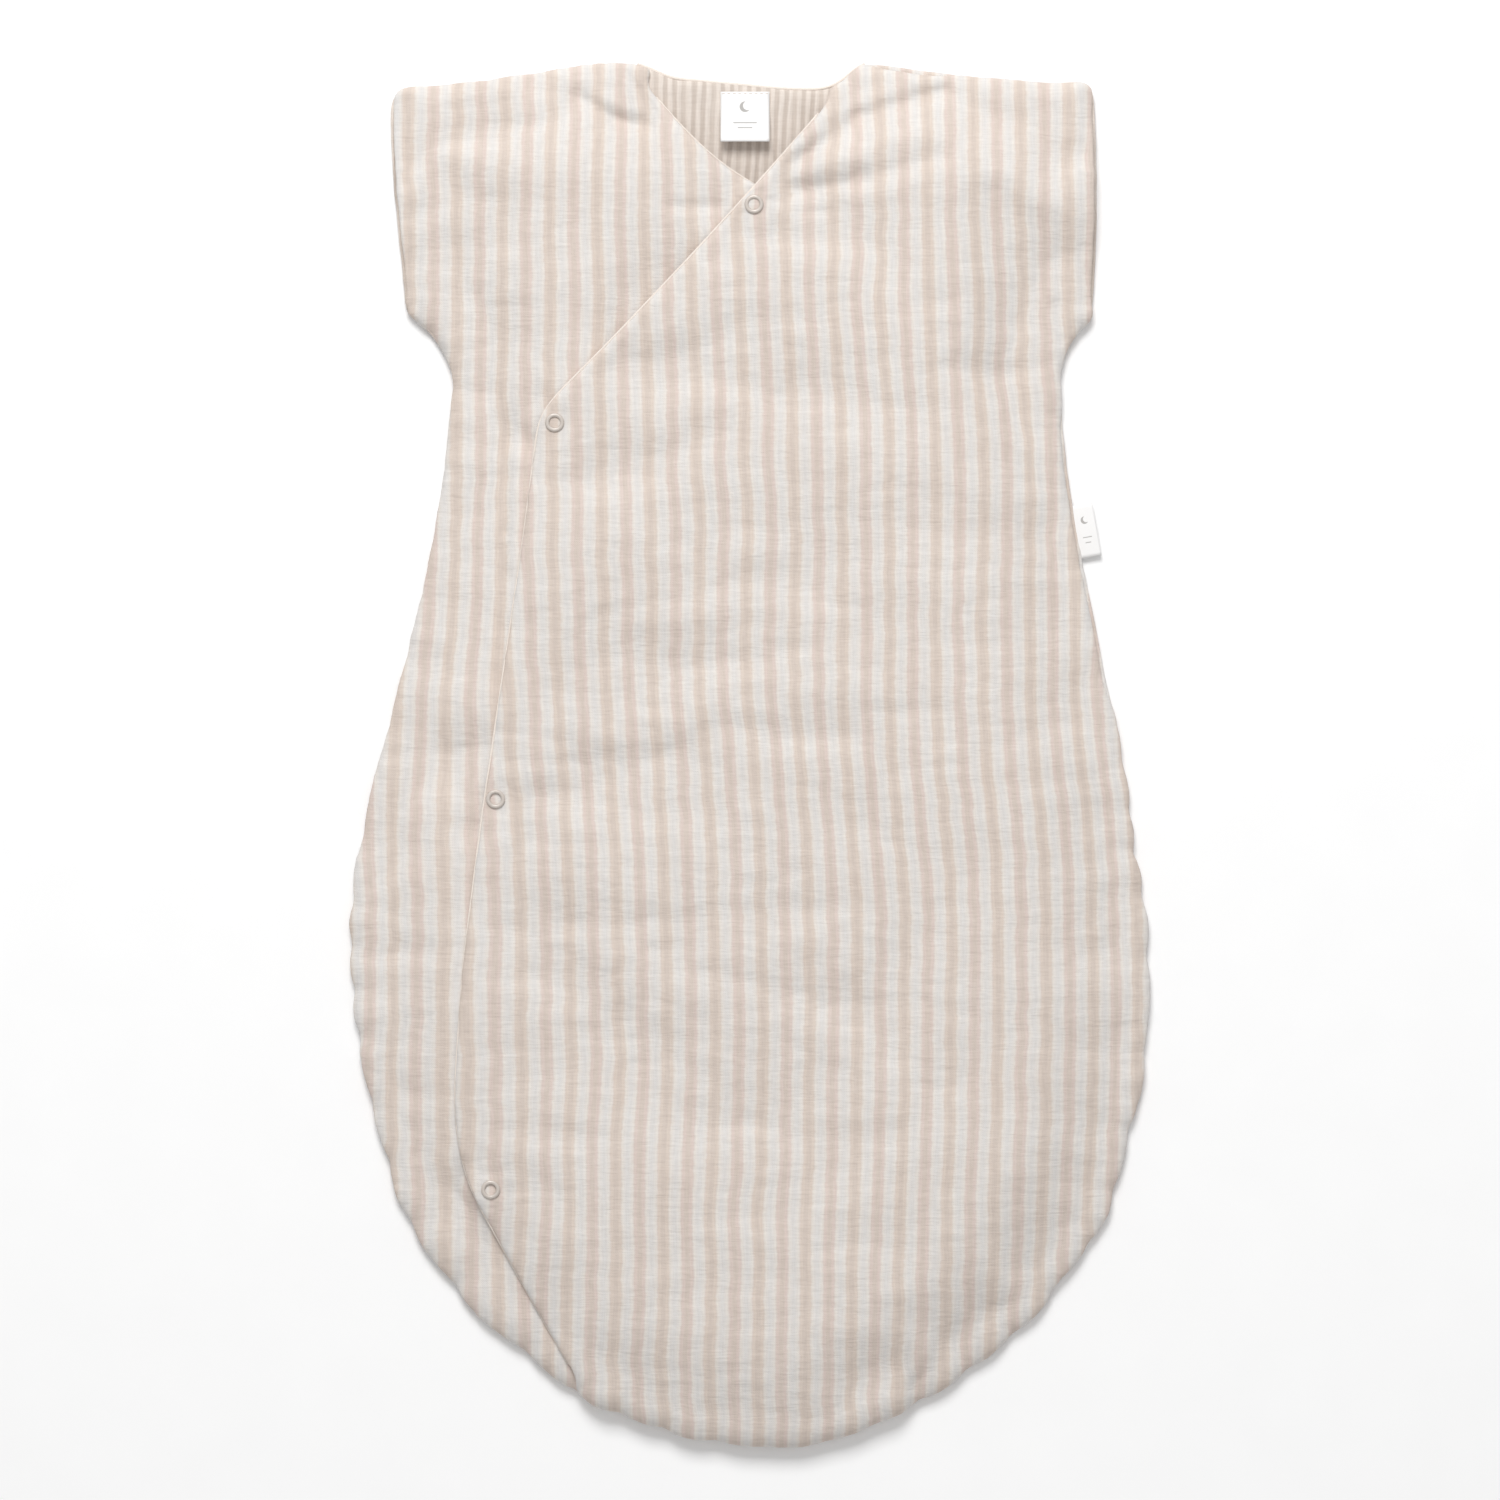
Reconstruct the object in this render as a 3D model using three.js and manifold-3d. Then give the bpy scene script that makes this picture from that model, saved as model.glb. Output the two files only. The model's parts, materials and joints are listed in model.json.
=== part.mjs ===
// Baby sleeping bag with a wrap-over front and cap sleeves, lying flat on its back.
// Millimetres. +X is to the right of someone looking down on the front, +Y is towards the neck, and +Z is
// up out of the front. The origin is on the resting plane, under the middle of the bag.
//
// Each of the three panels has a striped shell on the outside, wadding, and a ribbed lining on the inside.
// The back lies lowest, the underlap (sewn to the left side) lies on it, and the overlap (sewn to the right
// side) wraps over the underlap. Four ring snaps close the overlap's free edge. The overlap bends along a
// straight fold line from the right neck point to the hem, and the part of it beyond that line is the flap.
import * as THREE from 'three';
import { mergeVertices } from 'three/addons/utils/BufferGeometryUtils.js';
import Module from 'manifold-3d';

const wasm = await Module();
wasm.setup();

// ---------------------------------------------------------------------------------------------------------
// Driving dimensions
// ---------------------------------------------------------------------------------------------------------
const skin = 0.6; // a shell or a lining, each two layers of muslin
const clearance = 0.35; // left between neighbouring pieces
const wadding = { atSeam: 0.8, full: 2.6, fullAt: 26, stopsShort: 5 };
const overlapGap = 0.5; // between the underlap and the overlap
const room = { full: 7, fullAt: 34 }; // height left for the baby between the back and the front, laid flat
const ringInsets = [12, room.fullAt]; // distances from the outline at which the panels change slope
const spine = { bottom: -200, top: 230 }; // the panels are meshed along lines that run in to this line
const foldGap = 0.8; // slot between the flap and the rest of the overlap
const piping = { width: 1.6, height: 2 };

// Plan of the bag, counter-clockwise from the right neck point. Each stretch is a cubic Bezier that starts
// where the last one ended, given as control point, control point, end point. The front and the back are
// sewn together along some stretches and open along the others.
const neckRight = [56, 347.5];
const stretches = [
  { sewn: false, steps: 3, path: [[50, 343], [46, 335], [35, 334.5]] }, // back neckline, right end
  { sewn: false, steps: 3, path: [[15, 333.5], [-15, 338.5], [-37, 339.5]] }, // back neckline
  { sewn: false, steps: 3, path: [[-45, 341], [-52, 347.5], [-59, 347.5]] }, // back neckline, left end
  { sewn: true, steps: 4, path: [[-95, 347], [-125, 337], [-171, 335.5]] }, // left shoulder
  { sewn: true, steps: 2, path: [[-177, 335], [-180, 331], [-180, 325]] }, // left sleeve corner
  { sewn: false, steps: 4, path: [[-181, 293], [-174, 248], [-172.5, 223.5]] }, // left sleeve opening
  { sewn: true, steps: 4, path: [[-160, 213], [-150, 206], [-150, 185]] }, // left underarm
  { sewn: true, steps: 4, path: [[-149.5, 140], [-165, 72], [-181, 16]] }, // left side
  { sewn: true, steps: 2, path: [[-186, -8], [-200, -50], [-200, -87]] }, // left side, to the widest place
  { sewn: true, steps: 5, path: [[-200, -157], [-180, -227], [-143, -272]] }, // left side, lower
  { sewn: true, steps: 5, path: [[-112, -304], [-50, -347.5], [15, -347.5]] }, // hem, left half
  { sewn: true, steps: 5, path: [[60, -347.5], [122, -302], [150, -272]] }, // hem, right half
  { sewn: true, steps: 5, path: [[182, -238], [200, -167], [200, -107]] }, // right side, lower
  { sewn: true, steps: 5, path: [[200, -22], [156, 108], [155.5, 188]] }, // right side
  { sewn: true, steps: 4, path: [[155.5, 203], [162, 212], [171, 219]] }, // right underarm
  { sewn: false, steps: 4, path: [[174.5, 253], [174.5, 293], [172.5, 329]] }, // right sleeve opening
  { sewn: true, steps: 2, path: [[172.5, 334], [170, 337.5], [165, 337.5]] }, // right sleeve corner
  { sewn: true, steps: 4, path: [[115, 337.5], [85, 346], neckRight] }, // right shoulder
];

// Free edge of the overlap, from the right neck point across the chest and down the left of the bag.
const hemPoint = [-78, -324];
const freeEdge = [
  [[20, 302], [-52, 224], [-98, 179]], // neckline
  [[-104, 173], [-107, 166], [-107, 156]], // turn at the second snap
  [[-112, 98], [-146, -82], [-147, -162]], // long edge
  [[-148, -192], [-143, -210], [-134, -226]], // turn at the last snap
  [[-118, -255], [-98, -292], hemPoint], // edge that runs in to the hem
];
const freeEdgeSteps = 5;
// The underlap's free edge starts at the left neck point and passes above the first snap. From its turn on
// the right of the bag it mirrors the overlap's edge, moved along X.
const underlapStart = [-59.5, 347.5];
const underlapShift = -3.5;
const underlapNeck = [
  [[-38, 316], [-16, 295], [2, 286.5]],
  [[28, 275], [80, 213], [94.5, 179]],
];

const snapPlaces = [[2, 276], [-97.5, 167], [-127, -21], [-129.5, -216]]; // neck to hem
const snap = {
  outer: 4.75, // outer radius of a standard 9.5 mm ring snap
  recess: 5.5, // radius of the hole in the wadding and in the lining, where the snap clamps the shell
  segments: 10,
};
// Radii and heights of the snap's parts. A shoulder is the highest or deepest point of a rounded side.
const ring = { inner: 2.6, height: 1, rounding: 0.7, innerRounding: 0.5, shoulder: 0.35 };
const prong = { count: 5, circle: 3.6, radius: 0.3, hole: 0.6, tip: 0.1, root: 0.3 };
const socket = { depth: 3, bore: 2.5, ceiling: 0.8, mouth: 3.3, shoulder: 3.5, shoulderAt: 1.4, rim: 1 };
const stud = { height: 2.6, rim: 0.5, waist: 1.8, head: 2.1, headAt: 1.7, tip: 1.6 };

const neckLabel = { width: 24.5, length: 25.5, thickness: 0.5, x: -2.5, top: 333.5 };
const sideLabel = { width: 9.5, length: 27, thickness: 0.5, y: 113, offset: 0.6 };

const finishes = {
  shell: { color: 0xdcd0c7, roughness: 0.92 },
  lining: { color: 0xe2d6cb, roughness: 0.92 },
  wadding: { color: 0xf6f4f0, roughness: 1 },
  piping: { color: 0xeee2d7, roughness: 0.85 },
  ring: { color: 0xcdc4bc, roughness: 0.45, metalness: 0.15 },
  metal: { color: 0xd6d0ca, roughness: 0.4, metalness: 0.6 },
  label: { color: 0xf4f3f2, roughness: 0.8 },
};

// ---------------------------------------------------------------------------------------------------------
// Geometry helpers
// ---------------------------------------------------------------------------------------------------------
const mix = (a, b, t) => a + (b - a) * t;
const ease = (t) => Math.sin((Math.min(Math.max(t, 0), 1) * Math.PI) / 2);
const vector = ([x, y]) => new THREE.Vector2(x, y);

function solidFrom(geometry) {
  const bare = geometry.clone();
  bare.deleteAttribute('normal');
  bare.deleteAttribute('uv');
  const merged = mergeVertices(bare, 1e-4);
  const vertProperties = merged.attributes.position.array;
  const triVerts = new Uint32Array(merged.index.array);
  return new wasm.Manifold(new wasm.Mesh({ numProp: 3, vertProperties, triVerts }));
}

function geometryFrom(solid) {
  const { vertProperties, triVerts } = solid.getMesh();
  const geometry = new THREE.BufferGeometry();
  geometry.setAttribute('position', new THREE.BufferAttribute(vertProperties, 3));
  geometry.setIndex(new THREE.BufferAttribute(triVerts, 1));
  return geometry;
}

// Points along a chain of cubic Beziers, each given as control, control, end.
function bezierPoints(start, paths, stepsOf) {
  const points = [vector(start)];
  paths.forEach((path, i) => {
    const curve = new THREE.CubicBezierCurve(points.at(-1), ...path.map(vector));
    points.push(...curve.getPoints(stepsOf(i)).slice(1));
  });
  return points;
}

// The same polyline moved sideways by a distance, to the left of its direction when positive.
function offsetPath(points, distance) {
  return points.map((point, i) => {
    const before = points[Math.max(i - 1, 0)];
    const after = points[Math.min(i + 1, points.length - 1)];
    const along = after.clone().sub(before).normalize();
    return new THREE.Vector2(point.x - along.y * distance, point.y + along.x * distance);
  });
}

// An upright slab over a region of the plan.
function slab(points, thickness) {
  return new THREE.ExtrudeGeometry(new THREE.Shape(points), { depth: thickness, bevelEnabled: false });
}

// A prism over a region of the plan, tall enough to reach through every panel.
function prism(points) {
  const height = 80;
  return solidFrom(slab(points, height).translate(0, 0, -height / 4));
}

// An upright cylinder with its axis at a plan point.
function post(radius, segments, height, x, y, z) {
  const geometry = new THREE.CylinderGeometry(radius, radius, height, segments);
  return solidFrom(geometry.rotateX(Math.PI / 2).translate(x, y, z));
}

// A closed profile of [radius, height] points turned about +Z.
function turned(profile) {
  const closed = [...profile, profile[0]].map(vector);
  return new THREE.LatheGeometry(closed, snap.segments).rotateX(Math.PI / 2);
}

function distanceTo(lines, x, y) {
  let nearest = Infinity;
  for (const line of lines) {
    for (let i = 1; i < line.length; i += 1) {
      const a = line[i - 1];
      const span = line[i].clone().sub(a);
      const t = Math.min(Math.max(((x - a.x) * span.x + (y - a.y) * span.y) / span.lengthSq(), 0), 1);
      nearest = Math.min(nearest, Math.hypot(x - a.x - span.x * t, y - a.y - span.y * t));
    }
  }
  return nearest;
}

// ---------------------------------------------------------------------------------------------------------
// Plan of the panels
// ---------------------------------------------------------------------------------------------------------
// The outline's points, with the given number of steps for each step stated in the stretches.
function outlinePoints(finer) {
  const points = bezierPoints(neckRight, stretches.map((s) => s.path), (i) => stretches[i].steps * finer);
  return points.slice(0, -1);
}

const outline = outlinePoints(1);
const closedOutline = [...outline, outline[0]];

// The sewn seams, one line for each stretch.
const seams = [];
let corner = 0;
for (const stretch of stretches) {
  if (stretch.sewn) {
    seams.push(closedOutline.slice(corner, corner + stretch.steps + 1));
  }
  corner += stretch.steps;
}

// The point at a true distance inside the outline, reached from each outline point towards the spine.
function ringAt(inset) {
  const walk = 0.5;
  return outline.map((start) => {
    const centre = new THREE.Vector2(0, Math.min(Math.max(start.y, spine.bottom), spine.top));
    const inward = centre.sub(start).normalize();
    const point = start.clone();
    while (distanceTo([closedOutline], point.x, point.y) < inset) {
      point.addScaledVector(inward, walk);
    }
    return point;
  });
}

// Every panel layer shares these plan points and triangles, so stacked layers can't cross.
const rings = [outline, ...ringInsets.map(ringAt)];
const plan = rings.flat().map(({ x, y }) => ({
  x,
  y,
  wadding: mix(wadding.atSeam, wadding.full, ease(distanceTo([closedOutline], x, y) / wadding.fullAt)),
  room: room.full * ease(distanceTo(seams, x, y) / room.fullAt),
}));

const planTriangles = [];
const count = outline.length;
for (let ring = 0; ring + 1 < rings.length; ring += 1) {
  for (let i = 0; i < count; i += 1) {
    const a = ring * count + i;
    const b = ring * count + ((i + 1) % count);
    planTriangles.push([a, b, b + count], [a, b + count, a + count]);
  }
}
const innermost = (rings.length - 1) * count;
for (const [a, b, c] of THREE.ShapeUtils.triangulateShape(rings.at(-1), [])) {
  planTriangles.push([innermost + a, innermost + b, innermost + c]);
}

// ---------------------------------------------------------------------------------------------------------
// Heights of the layers
// ---------------------------------------------------------------------------------------------------------
const panelHeight = (at) => 2 * (skin + clearance) + at.wadding;
const panelBase = {
  back: () => 0,
  underlap: (at) => panelHeight(at) + clearance + at.room,
  overlap: (at) => 2 * panelHeight(at) + clearance + at.room + overlapGap,
};
// Bottom and top of the layers of a panel, measured from the panel's own underside.
const inPanel = {
  lower: () => [0, skin],
  middle: (at) => [skin + clearance, skin + clearance + at.wadding],
  upper: (at) => [panelHeight(at) - skin, panelHeight(at)],
  piping: (at) => [(panelHeight(at) - piping.height) / 2, (panelHeight(at) + piping.height) / 2],
};
// On the plateau, where the wadding and the room are at their full size.
const plateau = { wadding: wadding.full, room: room.full };
const shellAt = (panel) => inPanel.upper(plateau).map((z) => panelBase[panel](plateau) + z);

// One crowned layer over the whole outline.
function layer(panel, part) {
  const levels = plan.map((at) => inPanel[part](at).map((z) => panelBase[panel](at) + z));
  const positions = [];
  const corners = (side, ...indices) => indices.forEach((i) => {
    positions.push(plan[i].x, plan[i].y, levels[i][side]);
  });
  for (const [a, b, c] of planTriangles) {
    corners(1, a, b, c);
    corners(0, a, c, b);
  }
  for (let i = 0; i < count; i += 1) {
    const next = (i + 1) % count;
    corners(0, i, next);
    corners(1, next);
    corners(1, next, i);
    corners(0, i);
  }
  const geometry = new THREE.BufferGeometry();
  geometry.setAttribute('position', new THREE.Float32BufferAttribute(positions, 3));
  return solidFrom(geometry);
}

// ---------------------------------------------------------------------------------------------------------
// Regions of the front panels
// ---------------------------------------------------------------------------------------------------------
const overlapEdge = bezierPoints(neckRight, freeEdge, () => freeEdgeSteps);
const mirrored = freeEdge.slice(1).map((path) => path.map(([x, y]) => [underlapShift - x, y]));
const underlapEdge = bezierPoints(underlapStart, [...underlapNeck, ...mirrored], () => freeEdgeSteps);
const beyond = 400; // outside the bag on every side
const fold = vector(neckRight).sub(vector(hemPoint)).normalize();
const foldTop = vector(neckRight).addScaledVector(fold, beyond);
const foldBottom = vector(hemPoint).addScaledVector(fold, -beyond);
const foldLine = [foldBottom, foldTop];

const regions = {
  overlap: prism([foldTop, foldBottom, vector([2 * beyond, -beyond]), vector([2 * beyond, beyond])]),
  flap: prism(overlapEdge),
  underlap: prism([...underlapEdge, ...[[0, -beyond], [-beyond, -beyond], [-beyond, beyond]].map(vector)]),
  wadding: prism(ringAt(wadding.stopsShort)),
};
const foldSlot = prism([
  ...offsetPath(foldLine, foldGap / 2),
  ...offsetPath(foldLine, -foldGap / 2).reverse(),
]);

// ---------------------------------------------------------------------------------------------------------
// Fabric pieces
// ---------------------------------------------------------------------------------------------------------
const bag = new THREE.Group();

function addMesh(name, geometry, finish) {
  const mesh = new THREE.Mesh(geometry, new THREE.MeshStandardMaterial(finish));
  mesh.name = name;
  bag.add(mesh);
  return mesh;
}

const snapRecesses = snapPlaces.map(([x, y]) => post(snap.recess, snap.segments, beyond, x, y, 0));

// Plan points of the prongs round a snap.
function prongPlaces([x, y]) {
  return Array.from({ length: prong.count }, (_, i) => {
    const angle = (2 * Math.PI * i) / prong.count;
    return [x + prong.circle * Math.cos(angle), y + prong.circle * Math.sin(angle)];
  });
}

const prongHoles = snapPlaces.flatMap(prongPlaces).map(([x, y]) => post(prong.hole, 4, beyond, x, y, 0));

function cutAll(solid, tools) {
  return tools.reduce((left, tool) => left.subtract(tool), solid);
}

// The shell of the back lies flat on the ground.
function addBack() {
  const filling = layer('back', 'middle').intersect(regions.wadding);
  addMesh('back_shell', slab(outlinePoints(3), skin), finishes.shell);
  addMesh('back_wadding', geometryFrom(filling), finishes.wadding);
  addMesh('back_lining', geometryFrom(layer('back', 'upper')), finishes.lining);
}

// A front panel's three layers. The snapped panels are pierced by the snaps.
function addFrontPanel(name, panel, region, snapped) {
  const slot = panel === 'overlap' ? [foldSlot] : [];
  const recesses = snapped ? snapRecesses : [];
  const holes = snapped ? prongHoles : [];
  const padding = layer(panel, 'middle').intersect(regions.wadding);
  const lining = cutAll(layer(panel, 'lower').intersect(region), [...slot, ...recesses]);
  const filling = cutAll(padding.intersect(region), [...slot, ...recesses]);
  const shell = cutAll(layer(panel, 'upper').intersect(region), [...slot, ...holes]);
  addMesh(name + '_lining', geometryFrom(lining), finishes.lining);
  addMesh(name + '_wadding', geometryFrom(filling), finishes.wadding);
  addMesh(name + '_shell', geometryFrom(shell), finishes.shell);
}

// A thin strip of piping just outside a free edge. side is 1 where the panel is on the left of the edge's
// direction and -1 where it is on the right. The strip stops short of the neck point and of the hem.
function addPiping(name, panel, edge, side) {
  const stopsShort = 14;
  const inReach = ({ y }) => y < neckRight[1] - stopsShort && y > hemPoint[1] + stopsShort;
  const line = edge.filter(inReach);
  const inner = offsetPath(line, -side * clearance);
  const outer = offsetPath(line, -side * (clearance + piping.width));
  const strip = layer(panel, 'piping').intersect(prism([...inner, ...outer.reverse()]));
  addMesh(name, geometryFrom(strip), finishes.piping);
}

addBack();
addFrontPanel('underlap', 'underlap', regions.underlap, true);
addFrontPanel('overlap', 'overlap', regions.overlap, false);
addFrontPanel('flap', 'overlap', regions.flap, true);
addPiping('flap_edge_piping', 'overlap', overlapEdge, 1);
addPiping('underlap_edge_piping', 'underlap', underlapEdge, -1);

// ---------------------------------------------------------------------------------------------------------
// Ring snaps
// ---------------------------------------------------------------------------------------------------------
// An open prong ring that rests on +Z = 0, with its prongs pointing down through the shell and ending short
// of the part on the shell's other side.
function prongRing() {
  const rounded = turned([
    [ring.inner, 0],
    [snap.outer, 0],
    [snap.outer, ring.shoulder],
    [snap.outer - ring.rounding, ring.height],
    [ring.inner + ring.innerRounding, ring.height],
    [ring.inner, ring.height / 2],
  ]);
  const reach = skin + clearance + prong.tip;
  const length = reach + prong.root;
  const middle = (prong.root - reach) / 2;
  const prongs = prongPlaces([0, 0]).map(([x, y]) => post(prong.radius, 4, length, x, y, middle));
  return geometryFrom(prongs.reduce((all, one) => all.add(one), solidFrom(rounded)));
}

// The socket hangs below the flap's shell, with its mouth down. Its top is at +Z = 0.
function socketGeometry() {
  return turned([
    [0, -socket.ceiling],
    [socket.bore, -socket.ceiling],
    [socket.bore, -socket.depth],
    [socket.mouth, -socket.depth],
    [socket.shoulder, -socket.shoulderAt],
    [snap.outer, -socket.rim],
    [snap.outer, 0],
    [0, 0],
  ]);
}

// The stud stands on the underlap's shell. Its underside is at +Z = 0.
function studGeometry() {
  return turned([
    [0, 0],
    [snap.outer, 0],
    [snap.outer, stud.rim],
    [stud.waist, stud.rim],
    [stud.head, stud.headAt],
    [stud.tip, stud.height],
    [0, stud.height],
  ]);
}

snapPlaces.forEach(([x, y], i) => {
  const number = i + 1;
  const [flapUnder, flapTop] = shellAt('overlap');
  const [underlapUnder, underlapTop] = shellAt('underlap');
  const capRing = addMesh(`snap_${number}_cap_ring`, prongRing(), finishes.ring);
  capRing.position.set(x, y, flapTop + clearance);
  const upperPart = addMesh(`snap_${number}_socket`, socketGeometry(), finishes.metal);
  upperPart.position.set(x, y, flapUnder - clearance);
  const lowerPart = addMesh(`snap_${number}_stud`, studGeometry(), finishes.metal);
  lowerPart.position.set(x, y, underlapTop + clearance);
  const backingRing = addMesh(`snap_${number}_backing_ring`, prongRing(), finishes.ring);
  backingRing.rotation.x = Math.PI; // its prongs point up
  backingRing.position.set(x, y, underlapUnder - clearance);
});

// ---------------------------------------------------------------------------------------------------------
// Labels
// ---------------------------------------------------------------------------------------------------------
// The neck label is sewn along its top edge to the lining, inside the back of the neck.
function addNeckLabel() {
  const { width, length, thickness, x, top } = neckLabel;
  const mesh = addMesh('neck_label', new THREE.BoxGeometry(width, length, thickness), finishes.label);
  mesh.position.set(x, top - length / 2, panelHeight(plateau) + clearance + thickness / 2);
}

// The side label is caught in the right side seam and follows the seam's slope.
function addSideLabel() {
  const { width, length, thickness, y, offset } = sideLabel;
  const away = (point) => Math.abs(point.y - y);
  const near = outlinePoints(8).filter((point) => point.x > 0 && away(point) < length);
  const along = near.at(-1).clone().sub(near[0]).normalize();
  const middle = near.reduce((best, point) => (away(point) < away(best) ? point : best));
  const mesh = addMesh('side_label', new THREE.BoxGeometry(width, length, thickness), finishes.label);
  const out = offset + width / 2;
  const seamHeight = panelHeight({ wadding: wadding.atSeam });
  mesh.rotation.z = Math.atan2(-along.x, along.y);
  mesh.position.set(middle.x + along.y * out, middle.y - along.x * out, seamHeight);
}

addNeckLabel();
addSideLabel();

export default bag;
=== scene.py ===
"""Looks of the baby sleeping bag: padded striped muslin with ring snaps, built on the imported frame. Metres.

Each padded panel is one closed mesh. It starts as a flat sheet of triangles inside the panel's outline and
is raised to the height of its CAD layers. A cloth simulation wrinkles it, with the cloth cut slightly too
long for its seams. It is then laid on the panel below, thickened, and given the fine crinkle of muslin.
"""

import json
import math

import bpy
import numpy as np
from mathutils import Matrix, Vector
from mathutils.bvhtree import BVHTree
from mathutils.geometry import delaunay_2d_cdt


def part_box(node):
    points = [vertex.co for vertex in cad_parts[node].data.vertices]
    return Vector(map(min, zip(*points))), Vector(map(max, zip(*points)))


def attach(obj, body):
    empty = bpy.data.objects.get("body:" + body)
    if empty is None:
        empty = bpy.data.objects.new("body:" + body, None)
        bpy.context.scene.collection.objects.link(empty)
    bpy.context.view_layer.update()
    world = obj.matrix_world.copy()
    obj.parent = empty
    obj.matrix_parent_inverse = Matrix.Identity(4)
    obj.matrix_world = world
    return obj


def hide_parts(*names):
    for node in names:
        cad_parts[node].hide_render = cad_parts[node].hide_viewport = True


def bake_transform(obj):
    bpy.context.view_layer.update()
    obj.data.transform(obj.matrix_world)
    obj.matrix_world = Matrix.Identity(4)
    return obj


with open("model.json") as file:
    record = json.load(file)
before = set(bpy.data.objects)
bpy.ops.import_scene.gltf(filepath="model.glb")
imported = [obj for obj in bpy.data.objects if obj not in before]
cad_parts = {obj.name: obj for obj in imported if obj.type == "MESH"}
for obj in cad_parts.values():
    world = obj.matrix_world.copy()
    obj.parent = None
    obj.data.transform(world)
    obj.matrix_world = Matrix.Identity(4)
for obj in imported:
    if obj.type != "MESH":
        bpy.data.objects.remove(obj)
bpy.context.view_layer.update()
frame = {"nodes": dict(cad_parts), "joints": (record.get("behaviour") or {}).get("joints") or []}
MM = 0.001

# ---- Sizes ----
SPACING = 5.0 * MM  # between the points of a sheet, before it is subdivided
RIM_SPACING = 4.0 * MM  # between the points of its outline
EDGE_ROWS = (1.1 * MM, 2.9 * MM)  # how far inside the outline two rows of points lie
FIELD_INSET = 5.2 * MM  # and how far inside it the even field of points starts
SNAP_ROWS = ((1.5, 6), (2.7, 10), (4.0, 14), (5.4, 16), (7.2, 18), (9.4, 20))  # radius in mm, points
SNAP_CLEARING = 11.5 * MM  # the even field stays this far from a snap
RISE = 58 * MM  # a front panel reaches its full height this far from a seam
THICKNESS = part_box("back_lining")[1].z  # of a padded panel away from its edges
RIM_THICKNESS = 1.0 * MM
SEAM_ROUNDING = 9 * MM  # a panel reaches its full thickness this far from a sewn edge
EDGE_ROUNDING = 4.5 * MM  # and this far from a free edge
RIM_STEP = 1.35 * MM  # from one panel's rim up to the next one's
GAP = 0.25 * MM  # left between cloth that rests on cloth
GROUND_GAP = 0.15 * MM  # and below the cloth that rests on the ground
SEAM_ALLOWANCE = 3.4 * MM  # the back's shell rolls over its sewn edge by this much
PUFF_LENGTH = 33 * MM  # from one gather of the seam to the next
PUFF_DEPTH = 2.3 * MM  # from the bottom of a gather to the top of a puff, where the seam gathers most
SNAP_THICKNESS = 1.2 * MM  # of a panel where a snap clamps it
HEM_THICKNESS = 2.4 * MM  # of a panel at a sleeve opening, where the wadding ends
SLEEVE_INSET = 1.6 * MM  # the front of a sleeve is this much shorter than its back
EDGE_LIFT = 1.3 * MM  # the overlap's free edge stands off the cloth below it, between the snaps
LAP_DROP = 1.2 * MM  # the overlap sinks by this much where the underlap ends
NECK_ROLL = (-54, 341)  # the underlap's corner that curls up at the neck, in millimetres
NECK_ROLL_MOVE = np.array([-2.0, 0.0, 2.2]) * MM  # and how far it moves
CAP_SEAT = 0.85 * MM  # the cloth's upper face lies this far above the lowest point of a snap's cap ring
LABEL_DENT = 1.1 * MM  # the stitches of the neck label press the back in by this much
LABEL_LOW, LABEL_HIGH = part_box("neck_label")
LABEL_SEAM = (LABEL_LOW.x - 3 * MM, LABEL_HIGH.x + 3 * MM, LABEL_HIGH.y - 5 * MM, LABEL_HIGH.y + 5 * MM)

TOPS = {
    "back": THICKNESS,
    "underlap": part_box("underlap_shell")[1].z,
    "overlap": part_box("overlap_shell")[1].z,
}
LEVEL = {"back": 0, "underlap": 1, "overlap": 2}

SLEEVE_BOTTOM, SLEEVE_TOP = 0.2215, 0.330  # the sleeve openings run between these Y
SLEEVE_X = 0.163  # and lie beyond this |X|
NECK_Y = 0.330  # the back neckline lies above this Y
NECK_POINT = np.array([0.0585, 0.3475])  # where it meets the right shoulder

STRIPE = 11.8 * MM  # one light and one dark stripe
STRIPE_SHIFT = {"back": 0.0, "underlap": 0.3, "overlap": 0.6}  # of the cloth along X, in millimetres
RIB = 4.6 * MM  # one rib of the lining
THREAD_PITCH = 0.9 * MM  # from one thread of the weave to the one after next

FOLD = next(joint for joint in frame["joints"] if joint["name"] == "overlap_fold")
FOLD_POINT = np.array(FOLD["pos_m"])
FOLD_AXIS = np.array(FOLD["axis"])
FLAPWARDS = np.array([-FOLD_AXIS[1], FOLD_AXIS[0], 0.0])  # across the fold, towards the free edge


# ---- Plan geometry, with numpy ----
def smooth(low, high, t):
    t = np.clip((t - low) / (high - low), 0, 1)
    return t * t * (3 - 2 * t)


def lattice(ix, iy, seed):
    value = np.sin(ix * 127.1 + iy * 311.7 + seed * 74.7) * 43758.5453
    return value - np.floor(value)


def noise(x, y, seed):
    """Smooth value noise between -1 and 1 with a grain of one unit."""
    ix, iy = np.floor(x), np.floor(y)
    u, v = smooth(0, 1, x - ix), smooth(0, 1, y - iy)
    low = lattice(ix, iy, seed) * (1 - u) + lattice(ix + 1, iy, seed) * u
    high = lattice(ix, iy + 1, seed) * (1 - u) + lattice(ix + 1, iy + 1, seed) * u
    return 2 * (low * (1 - v) + high * v) - 1


def border_loops(faces):
    """The loops of points round the outside of some faces, each in the faces' own direction."""
    onward = set()
    for face in faces:
        for a, b in zip(face, face[1:] + face[:1]):
            if (b, a) in onward:
                onward.remove((b, a))
            else:
                onward.add((a, b))
    follow = dict(onward)
    loops = []
    while follow:
        start, at = follow.popitem()
        loop = [start]
        while at != start and at in follow:
            loop.append(at)
            at = follow.pop(at)
        loops.append(loop)
    return loops


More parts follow.
